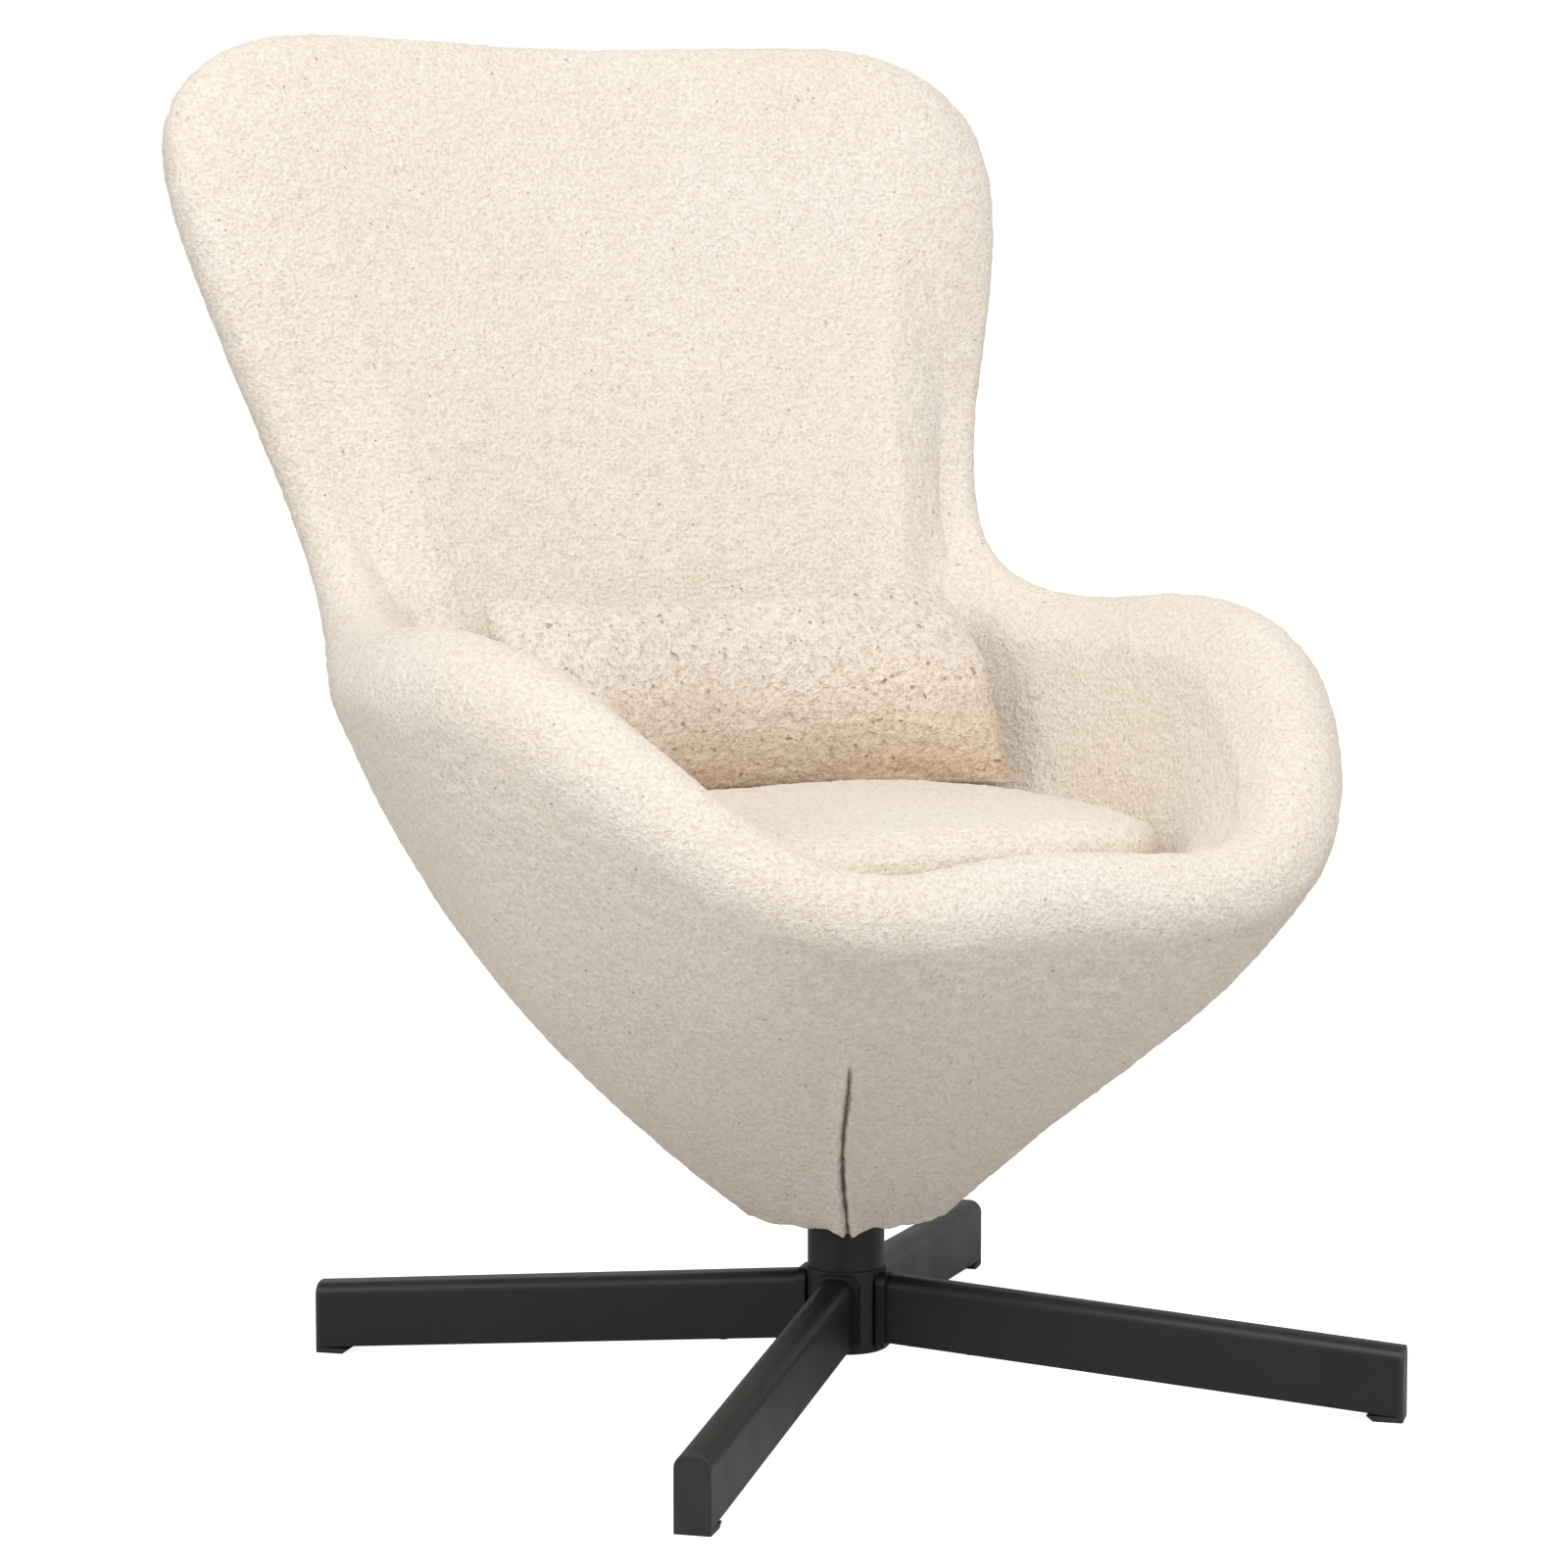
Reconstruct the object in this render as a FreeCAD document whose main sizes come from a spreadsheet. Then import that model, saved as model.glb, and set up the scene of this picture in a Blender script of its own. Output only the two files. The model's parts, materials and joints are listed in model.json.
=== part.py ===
import FreeCAD, Part
import math
import os
import re
import Sketcher
from FreeCAD import Placement, Rotation, Vector

# Pod armchair on a four-armed swivel base. Millimetres, +Z up, the origin on the floor on the
# swivel axis. The seat faces -Y and the sitter's left hand is at +X.

# Driving sizes
sizes = {
    # base
    "tip_reach": 408,            # swivel axis to the outer face of an end cap
    "arm_width": 25.5,
    "arm_height": 49,            # measured upright, as the arm's ends are cut upright
    "arm_wall": 2,
    "arm_corner": 10,            # radius of the two upper long edges
    "arm_slope": 4.7,            # degrees, falling outwards
    "foot_thick": 4,             # lip of the end cap under the tube
    "foot_length": 18,
    "foot_ramp": 5,              # run of the lip's sloping inner end
    "cap_thick": 3,
    "cap_edge": 1.2,
    "plug_depth": 16,
    "fit_gap": 0.15,             # plug and tongue inside the tube
    # hub
    "hub_radius": 29.5,
    "hub_low": 28,
    "hub_high": 88.3,
    "hub_bore": 25,
    "pad_reach": 33,             # axis to the face of an arm pad
    "pad_width": 35,
    "pad_low": 31,
    "pad_high": 86.3,
    "pad_corner": 9,
    "pad_recess": 1.8,
    "pad_inset": 0.25,
    "tongue_reach": 112,
    "tongue_high": 20,
    "screw_first": 50,
    "screw_pitch": 43,
    "screw_radius": 3,
    "screw_length": 13,
    "screw_head": 5,
    "screw_head_high": 2.2,
    "screw_gap": 0.1,
    "plug_thick": 3,
    "plug_lip": 4,
    "plug_wall": 2.5,
    # column and swivel
    "column_radius": 28,
    "column_high": 152,
    "spigot_low": 42,
    "bore_radius": 20,
    "spindle_radius": 12.5,
    "bush_flange": 2,
    "bush_flange_radius": 23,
    "bush_length": 26,
    "running_gap": 0.05,
    "press_gap": 0.02,
    "race_thick": 3,
    "race_radius": 26,
    "ball_radius": 3,
    "ball_pitch": 20,
    "ball_gap": 0.05,
    "groove_depth": 0.8,
    "cage_thick": 2,
    "cage_width": 9,
    "ball_count": 14,
    "washer_thick": 2,
    "washer_radius": 19,
    "circlip_thick": 1.2,
    "circlip_radius": 15.5,
    "circlip_slot": 5,
    "groove_in": 1,
    "spindle_tail": 3,
    # seat plate and what it carries
    "plate_thick": 6,
    "plate_side": 128,
    "plate_corner": 22,
    "bolt_spread": 46,           # bolt to the axis, along X and along Y
    "bolt_radius": 4,
    "bolt_gap": 0.25,
    "bolt_head_radius": 6.5,
    "bolt_head_high": 5.3,
    "board_radius": 82,
    "board_thick": 15,
    "nut_radius": 5.2,
    "nut_flange": 9.5,
    "nut_flange_thick": 1.5,
    "nut_depth": 11,
    # pod
    "hem_high": 131,
    "hem_radius": 76,
    "foot_spread": 0.25,         # how far profiles are evened out round the hem
    "slope_back": 20,            # degrees, lie of the underside where it leaves the hem
    "slope_front": 44,
    "swell_back": 0.30,          # share of the profile's length that keeps to that lie
    "swell_front": 0.38,
    "swell_side": 0.10,          # and what is added to it half way round
    "rim_swell": 0.385,          # share that keeps to the rim's direction, outside
    "inside_swell": 0.30,        # and inside
    "deck_swell": 0.16,
    "deck_rise": 42,             # degrees, how the inside leaves the deck
    "deck_square": 2.5,          # 2 is an oval deck, more is squarer
    "deck_high": 380,
    "deck_half_width": 215,
    "deck_half_depth": 200,
    "deck_centre": -15,
    "cover_thick": 4,
    "outer_foam_thick": 10,
    "shell_wall": 6,
    "layer_gap": 0.4,
    "lining_gap": 1.0,           # shell to the foam inside it
    "block_high": 300,           # top of the firm seat block
    "dust_thick": 1.2,
    "dust_radius": 60,
    "dust_bore": 31,
    # seat cushion
    "seat_pad_thick": 52,
    "seat_pad_edge": 14,
    "seat_pad_side": 12,         # from the deck's edges to the pad
    "seat_pad_front": 25,
    "seat_pad_back": 27,
    "seat_pad_crown": 5,
    "fabric_thick": 3,
    "rest_gap": 0.4,
    # lumbar cushion; the seam at its foot and its top, behind the deck's rear edge and above
    # the deck, in the middle and at the ends
    "lumbar_side": 12,
    "lumbar_thick": 100,
    "lumbar_foot_middle": -39,
    "lumbar_foot_end": -121,
    "lumbar_top_middle": 47,
    "lumbar_top_end": 9,
    "lumbar_high_middle": 187,
    "lumbar_high_end": 199,
    "foot_rise": -0.1,            # over the seat pad's rear edge, which its crown falls off to
}

# Stations of the rim, from the middle of the back round one side to the middle of the front.
# Each has the centre of the padded roll (half width, depth, height), the roll's radius, the
# way the roll faces, and how much of their share the outer and the inner skin keep to that way.
rim = {
    "back_top": ((0, 428, 955), 30, (0, 0.3, 1), (1, 1.25)),
    "top_corner": ((266, 416, 951), 34, (0.3, 0.31, 0.9), (0.64, 0.6)),
    "wing": ((321, 362, 831), 32, (0.92, -0.13, 0.4), (0.23, 0.7)),
    "waist": ((269, 281, 596), 24, (0.29, -0.27, 0.5), (0.24, 0.5)),
    "arm_rear": ((300, 110, 513), 48, (0.42, -0.01, 0.91), (0.89, 0.75)),
    "arm_front": ((297, -89, 502), 46, (0.18, 0.03, 0.95), (1.19, 1)),
    "front_corner": ((186, -252, 395), 34, (0.21, -0.57, 0.77), (1.06, 1)),
    "lip": ((0, -252, 381), 40, (0, -0.51, 0.85), (1, 1)),
}
for station, (centre, roll, facing, holds) in rim.items():
    for axis, number in zip("xyz", centre):
        sizes[f"{station}_{axis}"] = number
    sizes[f"{station}_roll"] = roll
    sizes[f"{station}_outer_hold"], sizes[f"{station}_inner_hold"] = holds
    for axis, number in zip("xyz", facing):
        sizes[f"{station}_face_{axis}"] = number

doc = FreeCAD.newDocument("pod_chair")
sheet = doc.addObject("Spreadsheet::Sheet", "Sizes")
for row, (name, number) in enumerate(sizes.items(), start=1):
    sheet.set(f"A{row}", name)
    sheet.set(f"B{row}", str(number))
    sheet.setAlias(f"B{row}", name)
doc.recompute()


def bind(text):
    """Point the names in an expression at the sheet."""
    return re.sub(r"[a-z]\w*", lambda m: "Sizes." + m.group() if m.group() in sizes else m.group(), text)


def value(text):
    """The number that an expression gives now."""
    return float(sheet.evalExpression(bind(str(text))))


# Helpers for bodies and sketches
def new_body(label):
    body = doc.addObject("PartDesign::Body", label)
    body.Label = label
    return body


def new_sketch(body, plane, offset="0"):
    """A sketch on an origin plane of its body, lifted off it along the plane's normal."""
    sketch = body.newObject("Sketcher::SketchObject", body.Name + "_sketch")
    origin = next(f for f in body.Origin.OriginFeatures if f.Role == plane + "_Plane")
    sketch.AttachmentSupport = [(origin, "")]
    sketch.MapMode = "FlatFace"
    sketch.AttachmentOffset = Placement(Vector(0, 0, value(offset)), Rotation())
    sketch.setExpression("AttachmentOffset.Base.z", bind(offset))
    return sketch


def fix_point(sketch, geometry, end, x, y):
    """Hold one end of a line or arc at a pair of expressions."""
    for kind, text in (("DistanceX", x), ("DistanceY", y)):
        number = sketch.addConstraint(Sketcher.Constraint(kind, -1, 1, geometry, end, value(text)))
        sketch.setExpression(f"Constraints[{number}]", bind(text))


def outline(sketch, corners):
    """A closed outline through corners (x, y) or (x, y, radius), the last kind rounded.

    A rounded corner stands between one level and one upright side.
    """
    places = []
    for corner in corners:
        places.append(Vector(value(corner[0]), value(corner[1]), 0))
    ends = []
    for i, corner in enumerate(corners):
        x, y = corner[0], corner[1]
        if len(corner) == 2:
            ends.append(((x, y), (x, y), None))
            continue
        radius = corner[2]
        pair = []
        for other in (places[i - 1], places[(i + 1) % len(corners)]):
            step = other - places[i]
            if abs(step.x) > abs(step.y):
                sign = "+" if step.x > 0 else "-"
                pair.append((f"({x}) {sign} ({radius})", y))
            else:
                sign = "+" if step.y > 0 else "-"
                pair.append((x, f"({y}) {sign} ({radius})"))
        ends.append((pair[0], pair[1], radius))
    for i, (first, second, radius) in enumerate(ends):
        if radius is not None:
            add_corner_arc(sketch, places[i], first, second, radius)
        following = ends[(i + 1) % len(ends)][0]
        start = Vector(value(second[0]), value(second[1]), 0)
        stop = Vector(value(following[0]), value(following[1]), 0)
        line = sketch.addGeometry(Part.LineSegment(start, stop), False)
        fix_point(sketch, line, 1, *second)
        fix_point(sketch, line, 2, *following)


def add_corner_arc(sketch, corner, first, second, radius):
    a = Vector(value(first[0]), value(first[1]), 0)
    b = Vector(value(second[0]), value(second[1]), 0)
    size = value(radius)
    centre = a + b - corner
    middle = centre + (corner - centre).normalize() * size
    arc = sketch.addGeometry(Part.Arc(a, middle, b), False)
    made = sketch.Geometry[arc]
    starts_at_a = made.StartPoint.distanceToPoint(a) < made.StartPoint.distanceToPoint(b)
    fix_point(sketch, arc, 1, *(first if starts_at_a else second))
    fix_point(sketch, arc, 2, *(second if starts_at_a else first))
    number = sketch.addConstraint(Sketcher.Constraint("Radius", arc, size))
    sketch.setExpression(f"Constraints[{number}]", bind(radius))


def circle(sketch, x, y, radius):
    made = sketch.addGeometry(Part.Circle(Vector(value(x), value(y), 0), Vector(0, 0, 1), value(radius)), False)
    fix_point(sketch, made, 3, x, y)
    number = sketch.addConstraint(Sketcher.Constraint("Radius", made, value(radius)))
    sketch.setExpression(f"Constraints[{number}]", bind(radius))


def extrude(body, sketch, kind, length, midplane=False, reverse=False, direction=None):
    """A Pad or a Pocket of a sketch."""
    feature = body.newObject("PartDesign::" + kind, f"{body.Name}_{kind.lower()}")
    feature.Profile = sketch
    feature.Length = value(length)
    feature.setExpression("Length", bind(length))
    feature.Midplane = midplane
    feature.Reversed = reverse
    if direction is not None:
        feature.UseCustomVector = True
        feature.Direction = direction
        feature.AlongSketchNormal = False
    doc.recompute()
    return feature


def turn(body, corners, kind="Revolution"):
    """A Revolution or Groove about the body's Z axis; corners are (radius, height)."""
    sketch = new_sketch(body, "XZ")
    outline(sketch, corners)
    feature = body.newObject("PartDesign::" + kind, f"{body.Name}_{kind.lower()}")
    feature.Profile = sketch
    feature.ReferenceAxis = (sketch, ["V_Axis"])
    feature.Angle = 360
    doc.recompute()
    return feature


def ring_of(body, feature, count):
    """Repeat a feature round the body's Z axis."""
    pattern = body.newObject("PartDesign::PolarPattern", f"{body.Name}_pattern")
    pattern.Originals = [feature]
    axis = next(f for f in body.Origin.OriginFeatures if f.Role == "Z_Axis")
    pattern.Axis = (axis, [""])
    pattern.Angle = 360
    pattern.Occurrences = int(value(count))
    pattern.setExpression("Occurrences", bind(count))
    body.Tip = pattern
    doc.recompute()
    return pattern


def round_edges(body, wanted, radius, kind="Fillet"):
    """Round or bevel the edges of the body's last solid that the test picks."""
    base = body.Tip
    names = []
    for number, edge in enumerate(base.Shape.Edges, start=1):
        if wanted(edge):
            names.append(f"Edge{number}")
    feature = body.newObject("PartDesign::" + kind, f"{body.Name}_{kind.lower()}")
    feature.Base = (base, names)
    if kind == "Fillet":
        feature.Radius = value(radius)
        feature.setExpression("Radius", bind(radius))
    else:
        feature.Size = value(radius)
        feature.setExpression("Size", bind(radius))
    body.Tip = feature
    doc.recompute()
    return feature


def turn_body(body, degrees):
    body.Placement = Placement(Vector(), Rotation(Vector(0, 0, 1), degrees))


subparts = []


def done(*bodies):
    subparts.extend(bodies)


# Where the four arms point, counted from +X towards +Y
arm_turn = {"front_right": -135, "front_left": -45, "rear_left": 45, "rear_right": 135}
slope = math.radians(value("arm_slope"))
outwards = Vector(math.cos(slope), 0, -math.sin(slope))


def arm_low(reach):
    """Expression for the height of the tube's underside at a distance from the axis."""
    return f"foot_thick + (tip_reach - ({reach})) * tan(arm_slope)"


def tube_outline(sketch, reach, shrink, low_corner=None):
    """The arm's upright section with its rounded top, drawn in by shrink on every side."""
    half = f"arm_width / 2 - ({shrink})"
    low = f"{arm_low(reach)} + ({shrink})"
    high = f"{arm_low(reach)} + arm_height - ({shrink})"
    corner = f"arm_corner - ({shrink})"
    outline(sketch, [(f"-({half})", low), (half, low), (half, high, corner), (f"-({half})", high, corner)])


root_reach = "pad_reach - pad_recess"


def make_arm(label, degrees):
    """A rectangular tube that falls towards its tip; both ends are cut upright."""
    body = new_body(label)
    run = f"(tip_reach - cap_thick - ({root_reach})) / cos(arm_slope)"
    sketch = new_sketch(body, "YZ", root_reach)
    tube_outline(sketch, root_reach, "0")
    extrude(body, sketch, "Pad", run, direction=outwards)
    bore = new_sketch(body, "YZ", root_reach)
    tube_outline(bore, root_reach, "arm_wall")
    extrude(body, bore, "Pocket", run, direction=outwards)
    holes = new_sketch(body, "XY")
    for reach in ("screw_first", "screw_first + screw_pitch"):
        circle(holes, reach, "0", "screw_radius + 2 * screw_gap")
    extrude(body, holes, "Pocket", f"{arm_low('screw_first')} + 2 * arm_wall", reverse=True)
    turn_body(body, degrees)
    done(body)


def make_end_cap(label, degrees):
    """Closes the tube's tip and turns under it as the foot."""
    body = new_body(label)
    sketch = new_sketch(body, "YZ", "tip_reach - cap_thick")
    half = "arm_width / 2"
    high = f"{arm_low('tip_reach - cap_thick')} + arm_height"
    outline(sketch, [(f"-{half}", "0"), (half, "0"), (half, high, "arm_corner"),
                     (f"-{half}", high, "arm_corner")])
    extrude(body, sketch, "Pad", "cap_thick")

    def outer_rim(edge):
        box = edge.BoundBox
        return box.XMin > value("tip_reach") - 0.01 and box.ZMax > 1
    round_edges(body, outer_rim, "cap_edge")
    foot = new_sketch(body, "XZ")
    inner = "tip_reach - cap_thick - foot_length"
    top = f"{arm_low('tip_reach')} - 0.1"
    outline(foot, [(inner, "0"), ("tip_reach - cap_thick", "0"), ("tip_reach - cap_thick", top),
                   (f"{inner} - foot_ramp", top)])
    extrude(body, foot, "Pad", "arm_width", midplane=True)
    plug = new_sketch(body, "YZ", "tip_reach - cap_thick")
    tube_outline(plug, "tip_reach - cap_thick", "arm_wall + fit_gap")
    extrude(body, plug, "Pad", "plug_depth", direction=outwards * -1)
    turn_body(body, degrees)
    done(body)


def make_hub():
    """Welded hub: a bored drum with four framed pads and a tongue inside each arm."""
    body = new_body("hub")
    turn(body, [("hub_bore", "hub_low"), ("hub_radius", "hub_low"), ("hub_radius", "hub_high"),
                ("hub_bore", "hub_high")])
    pad = new_sketch(body, "YZ", "hub_bore + 1.5")
    half = "pad_width / 2"
    outline(pad, [(f"-{half}", "pad_low", "pad_corner / 2"), (half, "pad_low", "pad_corner / 2"),
                  (half, "pad_high", "pad_corner"), (f"-{half}", "pad_high", "pad_corner")])
    block = extrude(body, pad, "Pad", "pad_reach - hub_bore - 1.5")
    ring_of(body, block, "4")
    recess = new_sketch(body, "YZ", root_reach)
    tube_outline(recess, root_reach, "-pad_inset")
    cut = extrude(body, recess, "Pocket", "2 * pad_recess", reverse=True)
    ring_of(body, cut, "4")
    tongue = new_sketch(body, "YZ", "hub_bore + 1.5")
    width = "arm_width / 2 - arm_wall - fit_gap"
    low = f"{arm_low('hub_bore + 1.5')} + arm_wall + fit_gap"
    outline(tongue, [(f"-({width})", low), (width, low), (width, f"{low} + tongue_high"),
                     (f"-({width})", f"{low} + tongue_high")])
    bar = extrude(body, tongue, "Pad", "(tongue_reach - hub_bore - 1.5) / cos(arm_slope)",
                  direction=outwards)
    ring_of(body, bar, "4")
    holes = new_sketch(body, "XY")
    for reach in ("screw_first", "screw_first + screw_pitch"):
        circle(holes, reach, "0", "screw_radius + screw_gap")
    tapped = extrude(body, holes, "Pocket", f"{arm_low('screw_first')} + screw_length + 2", reverse=True)
    ring_of(body, tapped, "4")
    turn_body(body, 45)
    done(body)


def cylinder(name, radius, length, x, y, z, top_radius=None):
    """An upright cylinder, or a cone where top_radius is given, bound to the sheet."""
    if top_radius is None:
        solid = doc.addObject("Part::Cylinder", name)
        bound = {"Radius": radius, "Height": length}
    else:
        solid = doc.addObject("Part::Cone", name)
        bound = {"Radius1": radius, "Radius2": top_radius, "Height": length}
    for key, text in bound.items():
        setattr(solid, key, value(text))
        solid.setExpression(key, bind(text))
    for key, text in zip("xyz", (x, y, z)):
        solid.setExpression(f"Placement.Base.{key}", bind(text))
    return solid


def fused(name, pieces):
    joined = doc.addObject("Part::MultiFuse", name)
    joined.Shapes = pieces
    return joined


def group(label, pieces):
    """Separate solids that share one sub-part."""
    made = doc.addObject("Part::Compound", label)
    made.Label = label
    made.Links = pieces
    doc.recompute()
    done(made)


def make_arm_screws():
    """Two screws per arm, up through the tube's floor into the tongue."""
    screws = []
    for place, degrees in arm_turn.items():
        for count, reach in enumerate(("screw_first", "screw_first + screw_pitch")):
            name = f"screw_{place}_{count}"
            x = f"({reach}) * cos({degrees})"
            y = f"({reach}) * sin({degrees})"
            seat = f"{arm_low(reach + ' + screw_head')} - 0.05"
            head = cylinder(name + "_head", "0.7 * screw_head", "screw_head_high", x, y,
                            f"{seat} - screw_head_high", top_radius="screw_head")
            shank = cylinder(name + "_shank", "screw_radius", "screw_length + 0.5", x, y, f"{seat} - 0.5")
            screws.append(fused(name, [head, shank]))
    group("arm_screws", screws)


def make_hub_plug():
    """Plastic plug that closes the hub from below."""
    body = new_body("hub_plug")
    rim_out = "hub_bore - press_gap"
    rim_in = f"{rim_out} - plug_wall"
    turn(body, [("0", "hub_low"), (rim_out, "hub_low"), (rim_out, "hub_low + plug_thick + plug_lip"),
                (rim_in, "hub_low + plug_thick + plug_lip"), (rim_in, "hub_low + plug_thick"),
                ("0", "hub_low + plug_thick")])
    done(body)


def make_column():
    """Column tube, turned down below to a spigot that is pressed into the hub."""
    body = new_body("column")
    turn(body, [("bore_radius", "spigot_low"), ("hub_bore - press_gap", "spigot_low"),
                ("hub_bore - press_gap", "hub_high"), ("column_radius", "hub_high"),
                ("column_radius", "column_high"), ("bore_radius", "column_high")])
    round_edges(body, lambda e: e.BoundBox.ZMin > value("column_high") - 0.01
                and e.BoundBox.XMax > value("column_radius") - 0.01, "1", "Chamfer")
    done(body)


def make_bush(label, flange, inner_end, flange_end):
    """Flanged plain bush; the heights are those of its inner end, its flange and its outer end."""
    body = new_body(label)
    bore = "spindle_radius + running_gap"
    skin = "bore_radius - press_gap"
    turn(body, [(bore, inner_end), (skin, inner_end), (skin, flange), ("bush_flange_radius", flange),
                ("bush_flange_radius", flange_end), (bore, flange_end)])
    done(body)


race_low = "column_high + bush_flange"
ball_high = f"{race_low} + race_thick - groove_depth + ball_radius + ball_gap"
race_high = f"{ball_high} + ball_radius + ball_gap - groove_depth"
plate_low = f"{race_high} + race_thick"
plate_high = f"{plate_low} + plate_thick"
bush_low = "spigot_low - bush_flange"
washer_low = f"{bush_low} - washer_thick - 2 * running_gap"
circlip_low = f"{washer_low} - circlip_thick - running_gap"


def make_race(label, low):
    """Hardened washer with the balls' groove in the face towards them."""
    body = new_body(label)
    bore = "spindle_radius + 4 * running_gap"
    turn(body, [(bore, low), ("race_radius", low), ("race_radius", f"{low} + race_thick"),
                (bore, f"{low} + race_thick")])
    sketch = new_sketch(body, "XZ")
    circle(sketch, "ball_pitch", ball_high, "ball_radius + ball_gap")
    groove = body.newObject("PartDesign::Groove", label + "_groove")
    groove.Profile = sketch
    groove.ReferenceAxis = (sketch, ["V_Axis"])
    groove.Angle = 360
    doc.recompute()
    done(body)


def make_ball_cage():
    """Flat ring that keeps the balls apart."""
    body = new_body("ball_cage")
    inner = "ball_pitch - cage_width / 2"
    outer = "ball_pitch + cage_width / 2"
    low = f"{ball_high} - cage_thick / 2"
    high = f"{ball_high} + cage_thick / 2"
    turn(body, [(inner, low), (outer, low), (outer, high), (inner, high)])
    sketch = new_sketch(body, "XY", low)
    circle(sketch, "ball_pitch", "0", "ball_radius + 2 * ball_gap")
    hole = extrude(body, sketch, "Pocket", "cage_thick", reverse=True)
    ring_of(body, hole, "ball_count")
    done(body)


def make_balls():
    balls = []
    for number in range(int(value("ball_count"))):
        ball = doc.addObject("Part::Sphere", f"ball_{number}")
        ball.setExpression("Radius", bind("ball_radius"))
        angle = f"{number} * 360 / ball_count"
        ball.setExpression("Placement.Base.x", bind(f"ball_pitch * cos({angle})"))
        ball.setExpression("Placement.Base.y", bind(f"ball_pitch * sin({angle})"))
        ball.setExpression("Placement.Base.z", bind(ball_high))
        balls.append(ball)
    group("bearing_balls", balls)


def make_spindle():
    """Solid steel spindle, grooved near its foot for the circlip and welded to the seat plate."""
    body = new_body("spindle")
    low = f"{circlip_low} - spindle_tail"
    inner = "spindle_radius - groove_in"
    turn(body, [("0", low), ("spindle_radius", low), ("spindle_radius", circlip_low), (inner, circlip_low),
                (inner, f"{circlip_low} + circlip_thick"),
                ("spindle_radius", f"{circlip_low} + circlip_thick"),
                ("spindle_radius", plate_high), ("0", plate_high)])
    done(body)


def make_retainers():
    """Washer under the lower bush, and the circlip that holds it."""
    washer = new_body("retaining_washer")
    bore = "spindle_radius + 2 * running_gap"
    turn(washer, [(bore, washer_low), ("washer_radius", washer_low),
                  ("washer_radius", f"{washer_low} + washer_thick"), (bore, f"{washer_low} + washer_thick")])
    clip = new_body("circlip")
    inner = "spindle_radius - groove_in + running_gap"
    turn(clip, [(inner, circlip_low), ("circlip_radius", circlip_low),
                ("circlip_radius", f"{circlip_low} + circlip_thick"),
                (inner, f"{circlip_low} + circlip_thick")])
    slot = new_sketch(clip, "XZ")
    low = f"{circlip_low} - 1"
    high = f"{circlip_low} + circlip_thick + 1"
    far = "circlip_radius + 1"
    outline(slot, [("1", low), (far, low), (far, high), ("1", high)])
    extrude(clip, slot, "Pocket", "circlip_slot", midplane=True)
    done(washer, clip)


def at_bolts(sketch, radius):
    for x in ("bolt_spread", "-bolt_spread"):
        for y in ("bolt_spread", "-bolt_spread"):
            circle(sketch, x, y, radius)


def make_seat_plate():
    """Square steel plate on the spindle, bolted under the pod."""
    body = new_body("seat_plate")
    sketch = new_sketch(body, "XY", plate_low)
    half = "plate_side / 2"
    outline(sketch, [(f"-{half}", f"-{half}", "plate_corner"), (half, f"-{half}", "plate_corner"),
                     (half, half, "plate_corner"), (f"-{half}", half, "plate_corner")])
    extrude(body, sketch, "Pad", "plate_thick")
    holes = new_sketch(body, "XY", plate_low)
    circle(holes, "0", "0", "spindle_radius + press_gap")
    at_bolts(holes, "bolt_radius + bolt_gap")
    extrude(body, holes, "Pocket", "plate_thick", reverse=True)
    done(body)


board_low = f"{plate_high} + shell_wall"
board_high = f"{board_low} + board_thick"
bolt_top = f"{board_high} - 1"


def make_plate_bolts():
    """Four hexagon bolts up through plate, shell and board."""
    bolts = []
    for number, (x, y) in enumerate(((1, 1), (-1, 1), (-1, -1), (1, -1))):
        place = (f"{x} * bolt_spread", f"{y} * bolt_spread")
        head = doc.addObject("Part::Prism", f"bolt_head_{number}")
        head.Polygon = 6
        head.setExpression("Circumradius", bind("bolt_head_radius / cos(30)"))
        head.setExpression("Height", bind("bolt_head_high"))
        for key, text in zip("xyz", (*place, f"{plate_low} - bolt_head_high")):
            head.setExpression(f"Placement.Base.{key}", bind(text))
        shank = cylinder(f"bolt_shank_{number}", "bolt_radius", f"{bolt_top} - ({plate_low})", *place, plate_low)
        bolts.append(fused(f"bolt_{number}", [head, shank]))
    group("plate_bolts", bolts)


def make_base_board():
    """Plywood disc inside the shell that spreads the bolts' load."""
    body = new_body("base_board")
    sketch = new_sketch(body, "XY", board_low)
    circle(sketch, "0", "0", "board_radius")
    extrude(body, sketch, "Pad", "board_thick")
    holes = new_sketch(body, "XY", board_low)
    at_bolts(holes, "nut_radius + bolt_gap")
    extrude(body, holes, "Pocket", "board_thick", reverse=True)
    done(body)


def make_tee_nuts():
    nuts = []
    for number, (x, y) in enumerate(((1, 1), (-1, 1), (-1, -1), (1, -1))):
        place = (f"{x} * bolt_spread", f"{y} * bolt_spread")
        flange = cylinder(f"nut_flange_{number}", "nut_flange", "nut_flange_thick", *place, board_high)
        barrel = cylinder(f"nut_barrel_{number}", "nut_radius", "nut_depth", *place,
                          f"{board_high} - nut_depth")
        bore = cylinder(f"nut_bore_{number}", "bolt_radius + press_gap", "nut_depth + nut_flange_thick",
                        *place, f"{board_high} - nut_depth")
        nut = doc.addObject("Part::Cut", f"nut_{number}")
        nut.Base = fused(f"nut_blank_{number}", [flange, barrel])
        nut.Tool = bore
        nuts.append(nut)
    group("tee_nuts", nuts)


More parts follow.
